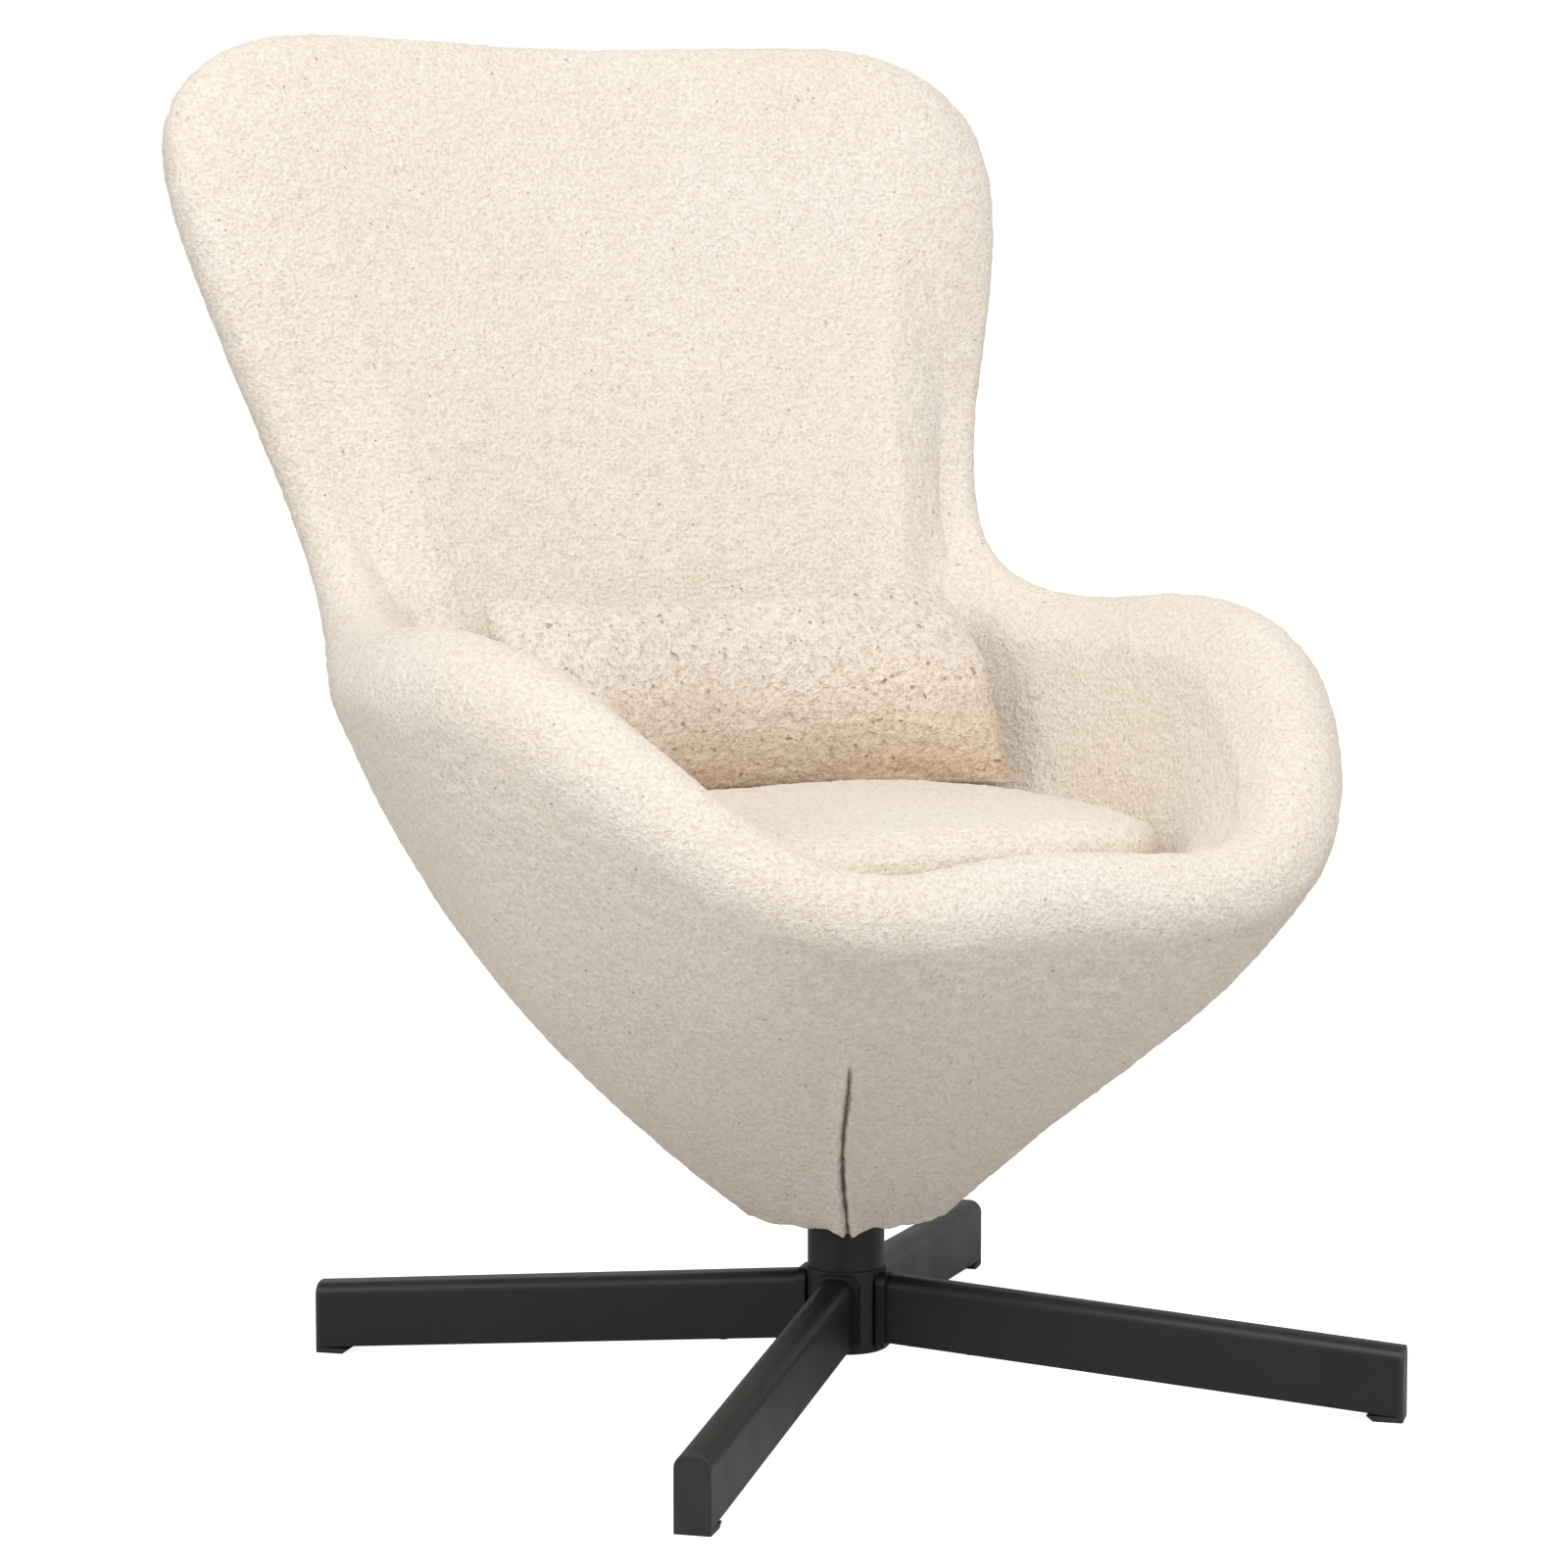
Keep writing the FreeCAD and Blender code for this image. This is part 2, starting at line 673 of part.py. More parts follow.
# The pod. A profile runs up the outside from the hem to the padded roll of the rim, over the
# roll, and down the inside to the flat deck. Each stretch is one cubic with four poles, and the
# poles go round the pod on closed splines, so every layer is the same few surfaces drawn in.
stations = list(rim)
round_the_rim = stations + stations[-2:0:-1]
samples = 2 * len(round_the_rim)
circle_pole = 4 / 3 * (math.sqrt(2) - 1)


def closed_poles(points):
    """Poles of the smooth closed cubic that passes through evenly numbered points."""
    points = list(points)
    poles = points
    for _ in range(60):
        poles = [(point * 6 - before - after) * 0.25
                 for before, point, after in zip(poles[-1:] + poles[:-1], points, poles[1:] + poles[:1])]
    return poles[-1:] + poles[:-1]


def closed_knots(count):
    return [number / count for number in range(count + 1)]


def closed_curve(points):
    curve = Part.BSplineCurve()
    count = len(points)
    curve.buildFromPolesMultsKnots(closed_poles(points), [1] * (count + 1), closed_knots(count), True, 3)
    return curve


def rim_curve(suffixes):
    points = []
    for number, station in enumerate(round_the_rim):
        side = 1 if number < len(stations) else -1
        numbers = [value(f"{station}_{suffix}") for suffix in suffixes]
        points.append(Vector(side * numbers[0], *numbers[1:]))
    return closed_curve(points)


class RimPoint:
    """The rim's centre and directions at one place round the pod, and the shares that vary there."""

    def __init__(self, at):
        self.centre = rim_centre.value(at)
        along = rim_centre.tangent(at)[0]
        facing = rim_facing.value(at)
        self.facing = (facing - along * facing.dot(along)).normalize()
        self.outward = self.facing.cross(along).normalize()
        self.roll = rim_roll.value(at).y
        self.outer_hold = rim_holds.value(at).y
        self.inner_hold = rim_holds.value(at).z
        side = 1 if at <= 0.5 else -1
        from_back = min(at, 1 - at) * 2
        rim_angle = math.atan2(self.centre.y, side * self.centre.x)
        even_angle = math.pi * (0.5 - from_back)
        angle = rim_angle + (even_angle - rim_angle) * value("foot_spread")
        self.radial = Vector(side * math.cos(angle), math.sin(angle), 0)
        towards_front = math.sin(math.pi / 2 * from_back)
        self.slope = math.radians(blend("slope_back", "slope_front", towards_front))
        self.swell = blend("swell_back", "swell_front", towards_front)
        self.swell += value("swell_side") * math.sin(math.pi * from_back)

    def rim(self, outward, facing):
        return self.centre + self.outward * outward + self.facing * facing


def blend(first, last, share):
    return value(first) + (value(last) - value(first)) * share


def outside(point, inset):
    """Poles of the outer profile, drawn in by inset, from the hem up to the roll."""
    low = point.radial * (value("hem_radius") - inset / math.sin(point.slope))
    low.z = value("hem_high")
    high = point.rim(point.roll - inset, 0)
    length = (high - low).Length
    lie = point.radial * math.cos(point.slope) + Vector(0, 0, math.sin(point.slope))
    return [low, low + lie * (length * point.swell),
            high - point.facing * (length * point.outer_hold * value("rim_swell")), high]


def squared(share):
    """Swell an oval's sine or cosine towards a square."""
    return math.copysign(abs(share) ** (2 / value("deck_square")), share)


def inside(point, inset):
    """Poles of the inner profile, sunk by inset, from the roll down to the deck."""
    high = point.rim(inset - point.roll, 0)
    across = value("deck_half_width") * squared(point.radial.x)
    along = value("deck_half_depth") * squared(point.radial.y)
    low = Vector(across, value("deck_centre") + along, value("deck_high") - inset)
    length = (high - low).Length
    lie = Vector(across, along, 0).normalize()
    rise = math.radians(value("deck_rise"))
    lie = lie * math.cos(rise) + Vector(0, 0, math.sin(rise))
    return [high, high - point.facing * (length * point.inner_hold * value("inside_swell")),
            low + lie * (length * value("deck_swell")), low]


def roll(point, inset):
    """Poles of the two quarter turns over the rim."""
    size = point.roll - inset
    pull = size * circle_pole
    return ([point.rim(size, 0), point.rim(size, pull), point.rim(pull, size), point.rim(0, size)],
            [point.rim(0, size), point.rim(-pull, size), point.rim(-size, pull), point.rim(-size, 0)])


def halves(poles, share):
    """A cubic's poles split at a share of its run."""
    levels = [poles]
    while len(levels[-1]) > 1:
        above = levels[-1]
        levels.append([a + (b - a) * share for a, b in zip(above, above[1:])])
    return [level[0] for level in levels], [level[-1] for level in reversed(levels)]


def split_at(poles, height):
    """The two parts of a rising cubic, below and above a height."""
    low, high = 0, 1
    for _ in range(50):
        middle = (low + high) / 2
        if halves(poles, middle)[1][0].z < height:
            low = middle
        else:
            high = middle
    under, over = halves(poles, low)
    under[-1].z = height
    over[0].z = height
    return under, over


def quarters(shape):
    """A closed spline or surface in four stretches, the first from the middle of the back."""
    for number in range(4):
        part = shape.copy()
        span = (number / 4, (number + 1) / 4)
        if isinstance(part, Part.BSplineCurve):
            part.segment(*span)
        else:
            part.segment(*span, 0, 1)
        yield part.toShape()


def band(strips):
    """Faces through the same profile stretch at every place round the pod."""
    nets = [closed_poles(column) for column in zip(*strips)]
    count = len(strips)
    degree = len(nets) - 1
    surface = Part.BSplineSurface()
    surface.buildFromPolesMultsKnots(
        [list(row) for row in zip(*nets)], [1] * (count + 1), [degree + 1, degree + 1],
        closed_knots(count), [0, 1], True, False, 3, degree)
    surface.setUNotPeriodic()
    return list(quarters(surface))


def disc(ring):
    """Level face inside a ring of points."""
    edge = closed_curve(ring)
    edge.setNotPeriodic()
    return [Part.Face(Part.Wire(list(quarters(edge))))]


def closed_solid(faces):
    shell = Part.Shell(faces)
    shell.sewShape()
    solid = Part.Solid(shell)
    if solid.Volume < 0:
        solid.reverse()
    return solid


def feature(label, shape):
    made = doc.addObject("Part::Feature", label)
    made.Label = label
    made.Shape = shape
    made.Placement = Placement()
    done(made)
    return made


rim_centre = rim_curve("xyz")
rim_facing = rim_curve(["face_x", "face_y", "face_z"])
# sizes that vary round the rim are carried as a curve's y and z, as x changes sign
rim_roll = closed_curve([Vector(0, value(station + "_roll"), 0) for station in round_the_rim])
rim_holds = closed_curve([Vector(0, value(station + "_outer_hold"), value(station + "_inner_hold"))
                          for station in round_the_rim])
points = [RimPoint(number / samples) for number in range(samples)]

cover_in = value("cover_thick")
foam_out = cover_in + value("layer_gap")
foam_in = foam_out + value("outer_foam_thick")
shell_out = foam_in + value("layer_gap")
shell_in = shell_out + value("shell_wall")
lining_out = shell_in + value("lining_gap")
shell_low = value(plate_high)
bowl_low = value(board_low)
foam_low = value("hem_high + dust_thick + 2 * layer_gap")
block_high = value("block_high")


def make_cover():
    """Fabric sewn in one skin, outside, over the rim, inside and across the deck."""
    faces = []
    rings = []
    for inset in (0, cover_in):
        outer = [outside(point, inset) for point in points]
        inner = [inside(point, inset) for point in points]
        rolls = [roll(point, inset) for point in points]
        faces += band(outer) + band([pair[0] for pair in rolls]) + band([pair[1] for pair in rolls])
        faces += band(inner) + disc([poles[-1] for poles in inner])
        rings.append([poles[0] for poles in outer])
    faces += band(list(zip(*rings)))
    feature("pod_cover", closed_solid(faces))


def make_outer_foam():
    """Even layer of foam outside the shell, up to the rim's outer edge."""
    outer = [split_at(outside(point, foam_out), foam_low)[1] for point in points]
    inner = [split_at(outside(point, foam_in), foam_low)[1] for point in points]
    faces = band(outer) + band(inner)
    for end in (0, -1):
        faces += band([(a[end], b[end]) for a, b in zip(outer, inner)])
    feature("outer_foam", closed_solid(faces))


def at_every_bolt(radius, low, high):
    spread = value("bolt_spread")
    for x in (-spread, spread):
        for y in (-spread, spread):
            yield Part.makeCylinder(radius, high - low, Vector(x, y, low))


def make_pod_shell():
    """Moulded glass-fibre bucket that stiffens the pod and is bolted to the seat plate."""
    outer = [split_at(outside(point, shell_out), shell_low)[1] for point in points]
    inner = [split_at(outside(point, shell_in), bowl_low)[1] for point in points]
    faces = band(outer) + band(inner) + band([(a[-1], b[-1]) for a, b in zip(outer, inner)])
    faces += disc([poles[0] for poles in outer]) + disc([poles[0] for poles in inner])
    shell = closed_solid(faces)
    for drill in at_every_bolt(value("bolt_radius + bolt_gap"), shell_low - 1, bowl_low + 1):
        shell = shell.cut(drill)
    feature("pod_shell", shell)


def make_seat_block():
    """Firm foam that fills the bucket's foot up to the seat, cut out for the board and its nuts."""
    low = bowl_low + value("layer_gap")
    sides = [split_at(split_at(outside(point, lining_out), low)[1], block_high)[0] for point in points]
    block = closed_solid(band(sides) + disc([poles[0] for poles in sides])
                         + disc([poles[-1] for poles in sides]))
    top = value(board_high) + value("nut_flange_thick") + 0.5
    room = Part.makeCylinder(value("board_radius") + 0.5, top - low + 1, Vector(0, 0, low - 1))
    feature("seat_block", block.cut(room))


def make_inner_foam():
    """Moulded foam over the rim and down the inside, thickest under the seat."""
    low = block_high + value("layer_gap")
    rolls = [roll(point, foam_out) for point in points]
    inner = [inside(point, foam_out) for point in points]
    outer = [split_at(outside(point, lining_out), low)[1] for point in points]
    faces = band([pair[0] for pair in rolls]) + band([pair[1] for pair in rolls]) + band(inner)
    faces += disc([poles[-1] for poles in inner]) + band(outer) + disc([poles[0] for poles in outer])
    faces += band([(pair[0][0], poles[-1]) for pair, poles in zip(rolls, outer)])
    feature("inner_foam", closed_solid(faces))


def make_dust_cloth():
    """Ring of backing cloth that closes the pod's underside round the column."""
    body = new_body("dust_cloth")
    low = "hem_high + layer_gap"
    turn(body, [("dust_bore", low), ("dust_radius", low), ("dust_radius", f"{low} + dust_thick"),
                ("dust_bore", f"{low} + dust_thick")])
    done(body)


def arc(a, b, bulge):
    """Edge from a to b through a point stood off their middle."""
    return Part.Arc(a, (a + b) * 0.5 + bulge, b).toShape()


def loft(wires):
    return Part.makeLoft([Part.Wire(edges) for edges in wires], True, False)


# Shares of the half width at which a cushion's sections stand, and how full each section is
section_places = (-1, -0.94, -0.78, -0.45, 0, 0.45, 0.78, 0.94, 1)


def fullness(place, power):
    return (1 - abs(place) ** power) ** (1 / power)


def seat_cushion_form(inset):
    """Flat-bottomed pad with rounded corners and a crown, drawn in by inset."""
    wires = []
    low = value("deck_high + rest_gap") + inset
    middle = value("deck_centre + (seat_pad_front - seat_pad_back) / 2")
    half = value("deck_half_depth - (seat_pad_front + seat_pad_back) / 2")
    for place in section_places:
        full = fullness(0.97 * place, 3.2)
        x = place * (value("deck_half_width - seat_pad_side") - inset)
        reach = half * full - inset
        tall = blend("seat_pad_edge", "seat_pad_thick", full) - 2 * inset
        nose = Vector(0, 0.42 * tall, 0)
        front = middle - reach + nose.y
        back = middle + reach - nose.y
        a, b = Vector(x, front, low), Vector(x, back, low)
        c, d = Vector(x, back, low + tall), Vector(x, front, low + tall)
        crown = Vector(0, 0, value("seat_pad_crown") * full)
        wires.append([Part.LineSegment(a, b).toShape(), arc(b, c, nose), arc(c, d, crown),
                      arc(d, a, nose * -1)])
    return loft(wires)


def lumbar_form(inset):
    """Pillow of two crowned panels that meet in a seam, leaning back and bent round the sitter."""
    wires = []
    rear = value("deck_centre + deck_half_depth")
    foot_high = value("deck_high + rest_gap + seat_pad_thick + foot_rise")
    for place in section_places:
        full = fullness(0.985 * place, 2.6)
        x = place * (value("deck_half_width - lumbar_side") - inset)
        curl = place * place
        foot = Vector(x, rear + blend("lumbar_foot_middle", "lumbar_foot_end", curl), foot_high)
        top = Vector(x, rear + blend("lumbar_top_middle", "lumbar_top_end", curl),
                     value("deck_high") + blend("lumbar_high_middle", "lumbar_high_end", curl))
        up = (top - foot).normalize()
        foot, top = foot + up * inset, top - up * inset
        face = Vector(0, -up.z, up.y)
        thick = max(value("lumbar_thick") * full - 2 * inset, 3)
        wires.append([arc(foot, top, face * (thick / 2)), arc(top, foot, face * (-thick / 2))])
    return loft(wires)


def make_cushion(label, form):
    """A cushion's fabric cover and the filling inside it."""
    fabric = value("fabric_thick")
    cover = form(0).cut(form(fabric))
    feature(label + "_cover", cover)
    feature(label + "_filling", form(fabric + value("layer_gap")))


make_hub()
make_hub_plug()
make_column()
make_arm_screws()
for place, degrees in arm_turn.items():
    make_arm("arm_" + place, degrees)
    make_end_cap("end_cap_" + place, degrees)
make_bush("upper_bush", "column_high", "column_high - bush_length", race_low)
make_bush("lower_bush", "spigot_low", "spigot_low + bush_length", bush_low)
make_race("lower_race", race_low)
make_ball_cage()
make_balls()
make_race("upper_race", race_high)
make_spindle()
make_retainers()
make_seat_plate()
make_plate_bolts()
make_base_board()
make_tee_nuts()
make_pod_shell()
make_seat_block()
make_outer_foam()
make_inner_foam()
make_cover()
make_dust_cloth()
make_cushion("seat_cushion", seat_cushion_form)
make_cushion("lumbar_cushion", lumbar_form)

doc.recompute()
for item in doc.Objects:
    if "Invalid" in item.State or "Error" in item.State:
        raise RuntimeError(f"{item.Name} did not compute: {item.State}")
for piece in subparts:
    if piece.Shape.isNull() or not piece.Shape.isValid():
        raise RuntimeError(f"{piece.Label} has no valid shape")
os.makedirs("parts", exist_ok=True)
for piece in subparts:
    shape = piece.Shape
    shape.exportStep(f"parts/{piece.Label}.step")
    box = shape.BoundBox
    corners = [round(number, 1) for number in (box.XMin, box.YMin, box.ZMin, box.XMax, box.YMax, box.ZMax)]
    print(piece.Label, "solids", len(shape.Solids), "cm3", round(shape.Volume / 1000, 1), corners)
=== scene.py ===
import bpy
import bmesh
import json
import math
import numpy as np
from mathutils import Matrix, Vector


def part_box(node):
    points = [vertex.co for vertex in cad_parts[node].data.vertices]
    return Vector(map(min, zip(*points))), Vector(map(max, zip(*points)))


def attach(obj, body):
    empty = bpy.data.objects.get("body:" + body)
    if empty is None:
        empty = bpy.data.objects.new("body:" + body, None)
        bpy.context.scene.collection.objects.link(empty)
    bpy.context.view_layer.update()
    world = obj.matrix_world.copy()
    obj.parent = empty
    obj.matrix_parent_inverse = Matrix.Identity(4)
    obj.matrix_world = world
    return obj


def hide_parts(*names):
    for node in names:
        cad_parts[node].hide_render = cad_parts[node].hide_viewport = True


# Pod armchair in cream teddy fabric on a black four-armed swivel base. Metres, +Z up, the seat faces -Y.
# The pod, the darts and the dust cloth are worked out in millimetres and made into metres as meshes.

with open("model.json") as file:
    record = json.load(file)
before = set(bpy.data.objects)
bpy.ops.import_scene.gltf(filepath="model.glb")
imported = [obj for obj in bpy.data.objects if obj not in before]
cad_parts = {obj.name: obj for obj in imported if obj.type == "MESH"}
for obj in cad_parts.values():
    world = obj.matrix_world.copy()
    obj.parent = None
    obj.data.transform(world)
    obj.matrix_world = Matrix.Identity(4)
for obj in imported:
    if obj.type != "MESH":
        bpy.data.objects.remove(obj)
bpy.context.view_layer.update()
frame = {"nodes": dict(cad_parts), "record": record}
mm = 0.001


# Nodes

def paint(hexValue):  # sRGB hex to a linear colour
    channels = [int(hexValue[i:i + 2], 16) / 255 for i in (1, 3, 5)]
    return [c / 12.92 if c <= 0.04045 else ((c + 0.055) / 1.055) ** 2.4 for c in channels] + [1]


def feed(tree, node, inputs):  # set or link a node's inputs; a node stands for its first output
    for name, item in inputs.items():
        if isinstance(item, bpy.types.Node):
            item = item.outputs[0]
        if isinstance(item, bpy.types.NodeSocket):
            tree.links.new(item, node.inputs[name])
        else:
            node.inputs[name].default_value = item


def addNode(tree, kind, settings=None, inputs=None):
    node = tree.nodes.new(kind)
    for name, setting in (settings or {}).items():
        if name == "stops":  # a colour ramp's (place, sRGB hex) pairs
            marks = node.color_ramp.elements
            while len(marks) < len(setting):
                marks.new(0.5)
            for mark, (at, hexValue) in zip(marks, setting):
                mark.position = at
                mark.color = paint(hexValue)
        else:
            setattr(node, name, setting)
    feed(tree, node, inputs or {})
    return node


def newMaterial(name):  # a material with an empty shader, and the place on the object for its patterns
    material = bpy.data.materials.new(name)
    material.use_nodes = True
    tree = material.node_tree
    tree.nodes.clear()
    shader = addNode(tree, "ShaderNodeBsdfPrincipled")
    addNode(tree, "ShaderNodeOutputMaterial", inputs={"Surface": shader})
    place = addNode(tree, "ShaderNodeTexCoord").outputs["Object"]
    return material, tree, shader, place


# Materials

def teddyFabric(name, cloth):
    # polyester teddy on a knitted back: short matt fibres combed into small tufts, with painted shade low in
    # the pile and in a few pits where the tufts part, and a soft bright edge where the pile stands against
    # the light
    material, tree, shader, place = newMaterial(name)
    fibres = addNode(tree, "ShaderNodeTexNoise", {},
                     {"Vector": place, "Scale": 1 / cloth["fibre"], "Roughness": 0.6})
    tufts = addNode(tree, "ShaderNodeTexNoise", {},
                    {"Vector": place, "Scale": 1 / cloth["tuft"], "Detail": 3, "Roughness": 0.6})
    gaps = addNode(tree, "ShaderNodeTexNoise", {},
                   {"Vector": place, "Scale": 1 / cloth["gap"], "Detail": 1})
    clumps = addNode(tree, "ShaderNodeTexNoise", {}, {"Vector": place, "Scale": 1 / cloth["clump"]})
    worn = addNode(tree, "ShaderNodeTexNoise", {}, {"Vector": place, "Scale": 1 / cloth["worn"]})
    # the pits' mask drives both their bump and a painted shade tint in the colour
    pits = addNode(tree, "ShaderNodeMapRange", {}, {0: gaps, 1: cloth["pitFrom"], 2: cloth["pitFull"]})
    height = tufts
    for pattern, share in ((fibres, cloth["fibreShare"]), (pits, -cloth["pitShare"])):
        height = addNode(tree, "ShaderNodeMath", {"operation": "MULTIPLY_ADD"},
                         {0: pattern, 1: share, 2: height})
    broad = addNode(tree, "ShaderNodeBump", {},
                    {"Height": clumps, "Distance": cloth["clumpDepth"], "Strength": 0.6})
    relief = addNode(tree, "ShaderNodeBump", {},
                     {"Height": height, "Distance": cloth["pileDepth"], "Normal": broad})
    colour = addNode(tree, "ShaderNodeValToRGB", {
        "stops": [(0.48, cloth["shade"]), (0.68, cloth["body"]), (0.9, cloth["tip"])]}, {0: height})
    faded = addNode(tree, "ShaderNodeMapRange", {}, {0: worn, 1: 0.35, 2: 0.65, 4: 0.5})
    # painted shade, warmer and darker, towards the foot of the lumbar cushion
    footShade = addNode(tree, "ShaderNodeAttribute", {"attribute_name": "warmShade"}).outputs["Fac"]
    # painted shade along the bottom of each dart groove
    sewn = addNode(tree, "ShaderNodeAttribute", {"attribute_name": "seamShade"}).outputs["Fac"]
    for share, tint, blend in ((pits, "pitShadeTint", "MIX"), (faded, "wash", "MULTIPLY"),
                               (footShade, "footShadeTint", "MULTIPLY"), (sewn, "grooveShadeTint", "MIX")):
        colour = addNode(tree, "ShaderNodeMix", {"data_type": "RGBA", "blend_type": blend},
                         {0: share, 6: colour, 7: paint(cloth[tint])}).outputs[2]
    feed(tree, shader, {"Base Color": colour, "Normal": relief, "Roughness": 0.95,
                        "Specular IOR Level": 0.12, "Sheen Weight": cloth["sheen"],
                        "Sheen Roughness": 0.45, "Sheen Tint": paint(cloth["tip"])})
    return material


def paintedMetal(name, coat):
    # polyester powder coat over steel: a fine orange peel and slightly uneven satin
    material, tree, shader, place = newMaterial(name)
    peel = addNode(tree, "ShaderNodeTexNoise", {}, {"Vector": place, "Scale": 1 / coat["peel"]})
    patches = addNode(tree, "ShaderNodeTexNoise", {}, {"Vector": place, "Scale": 1 / coat["patch"]})
    colour = addNode(tree, "ShaderNodeValToRGB", {"stops": [(0.3, coat["dark"]), (0.7, coat["light"])]},
                     {0: patches})
    satin = addNode(tree, "ShaderNodeMapRange", {},
                    {0: patches, 1: 0.3, 2: 0.7, 3: coat["rough"][0], 4: coat["rough"][1]})
    relief = addNode(tree, "ShaderNodeBump", {},
                     {"Height": peel, "Distance": coat["peelDepth"], "Strength": 0.5})
    feed(tree, shader, {"Base Color": colour, "Roughness": satin, "Normal": relief,
                        "Specular IOR Level": 0.35})
    return material


def mouldedPlastic(name, plastic):
    # moulded nylon or acetal: a fine spark-eroded grain, drawn coarser than the real 0.1 mm to show
    material, tree, shader, place = newMaterial(name)
    grain = addNode(tree, "ShaderNodeTexNoise", {}, {"Vector": place, "Scale": 1 / plastic["grain"]})
    flow = addNode(tree, "ShaderNodeTexNoise", {},
                   {"Vector": place, "Scale": 1 / plastic["flow"], "Detail": 1})
    colour = addNode(tree, "ShaderNodeValToRGB",
                     {"stops": [(0.3, plastic["dark"]), (0.7, plastic["light"])]}, {0: flow})
    satin = addNode(tree, "ShaderNodeMapRange", {},
                    {0: grain, 1: 0.3, 2: 0.7, 3: plastic["rough"][0], 4: plastic["rough"][1]})
    relief = addNode(tree, "ShaderNodeBump", {}, {"Height": grain, "Distance": 0.05 * mm, "Strength": 0.4})
    feed(tree, shader, {"Base Color": colour, "Roughness": satin, "Normal": relief, "IOR": 1.53})
    return material


def turnedSteel(name, steel):
    # steel turned or ground about the swivel axis: fine rings and a few darker marks
    material, tree, shader, place = newMaterial(name)
    parts = addNode(tree, "ShaderNodeSeparateXYZ", {}, {0: place}).outputs
    across = addNode(tree, "ShaderNodeCombineXYZ", {}, {0: parts[0], 1: parts[1]})
    radius = addNode(tree, "ShaderNodeVectorMath", {"operation": "LENGTH"}, {0: across}).outputs[1]
    turned = addNode(tree, "ShaderNodeCombineXYZ", {}, {0: radius, 1: parts[2]})
    rings = addNode(tree, "ShaderNodeTexNoise", {"noise_dimensions": "2D"},
                    {"Vector": turned, "Scale": 1 / steel["ring"], "Detail": 3})
    marks = addNode(tree, "ShaderNodeTexNoise", {},
                    {"Vector": place, "Scale": 1 / steel["mark"], "Detail": 3})
    colour = addNode(tree, "ShaderNodeValToRGB", {"stops": [(0.3, steel["dark"]), (0.65, steel["light"])]},
                     {0: marks})
    satin = addNode(tree, "ShaderNodeMapRange", {},
                    {0: rings, 1: 0.3, 2: 0.7, 3: steel["rough"][0], 4: steel["rough"][1]})
    relief = addNode(tree, "ShaderNodeBump", {}, {"Height": rings, "Distance": 0.02 * mm, "Strength": 0.5})
    feed(tree, shader, {"Base Color": colour, "Roughness": satin, "Normal": relief, "Metallic": 1})
    return material


def layeredBoard(name, board):
    # birch plywood: pale veneer faces with long figure and darker glue lines on the edge
    material, tree, shader, place = newMaterial(name)
    long = addNode(tree, "ShaderNodeMapping", {}, {"Vector": place, "Scale": (1, 0.12, 1)})
    figure = addNode(tree, "ShaderNodeTexNoise", {},
                     {"Vector": long, "Scale": 1 / board["figure"], "Detail": 4, "Roughness": 0.6})
    high = addNode(tree, "ShaderNodeSeparateXYZ", {}, {0: place}).outputs[2]
    plies = addNode(tree, "ShaderNodeMath", {"operation": "PINGPONG"}, {0: high, 1: board["ply"]})
    grain = addNode(tree, "ShaderNodeValToRGB",
                    {"stops": [(0.35, board["dark"]), (0.65, board["light"])]}, {0: figure})
    lines = addNode(tree, "ShaderNodeMapRange", {}, {0: plies, 2: board["ply"] * 0.2, 3: 0.5, 4: 0})
    colour = addNode(tree, "ShaderNodeMix", {"data_type": "RGBA"},
                     {0: lines, 6: grain, 7: paint(board["glue"])}).outputs[2]
    relief = addNode(tree, "ShaderNodeBump", {}, {"Height": figure, "Distance": 0.1 * mm, "Strength": 0.5})
    feed(tree, shader, {"Base Color": colour, "Normal": relief, "Roughness": 0.6})
    return material


def laminate(name, shell):
    # glass-fibre laminate: chopped strands under a resin-rich surface
    material, tree, shader, place = newMaterial(name)
    strands = addNode(tree, "ShaderNodeTexVoronoi", {"feature": "DISTANCE_TO_EDGE"},
                      {"Vector": place, "Scale": 1 / shell["strand"]})
    colour = addNode(tree, "ShaderNodeValToRGB", {"stops": [(0, shell["dark"]), (0.25, shell["light"])]},
                     {0: strands})
    relief = addNode(tree, "ShaderNodeBump", {}, {"Height": strands, "Distance": 0.15 * mm, "Strength": 0.4})
    feed(tree, shader, {"Base Color": colour, "Normal": relief, "Roughness": 0.35})
    return material


def feltedCloth(name, felt):
    # spun-bonded dust cloth: thermal dots pressed in a close grid over random fibres
    material, tree, shader, place = newMaterial(name)
    dots = addNode(tree, "ShaderNodeTexVoronoi", {},
                   {"Vector": place, "Scale": 1 / felt["dot"], "Randomness": 0.15})
    fibres = addNode(tree, "ShaderNodeTexNoise", {},
                     {"Vector": place, "Scale": 1 / felt["fibre"], "Detail": 4, "Roughness": 0.7})
    both = addNode(tree, "ShaderNodeMath", {"operation": "MULTIPLY_ADD"}, {0: fibres, 1: 0.5, 2: dots})
    colour = addNode(tree, "ShaderNodeValToRGB", {"stops": [(0.3, felt["dark"]), (0.8, felt["light"])]},
                     {0: both})
    relief = addNode(tree, "ShaderNodeBump", {}, {"Height": both, "Distance": 0.2 * mm, "Strength": 0.6})
    feed(tree, shader, {"Base Color": colour, "Normal": relief, "Roughness": 0.9})
    return material


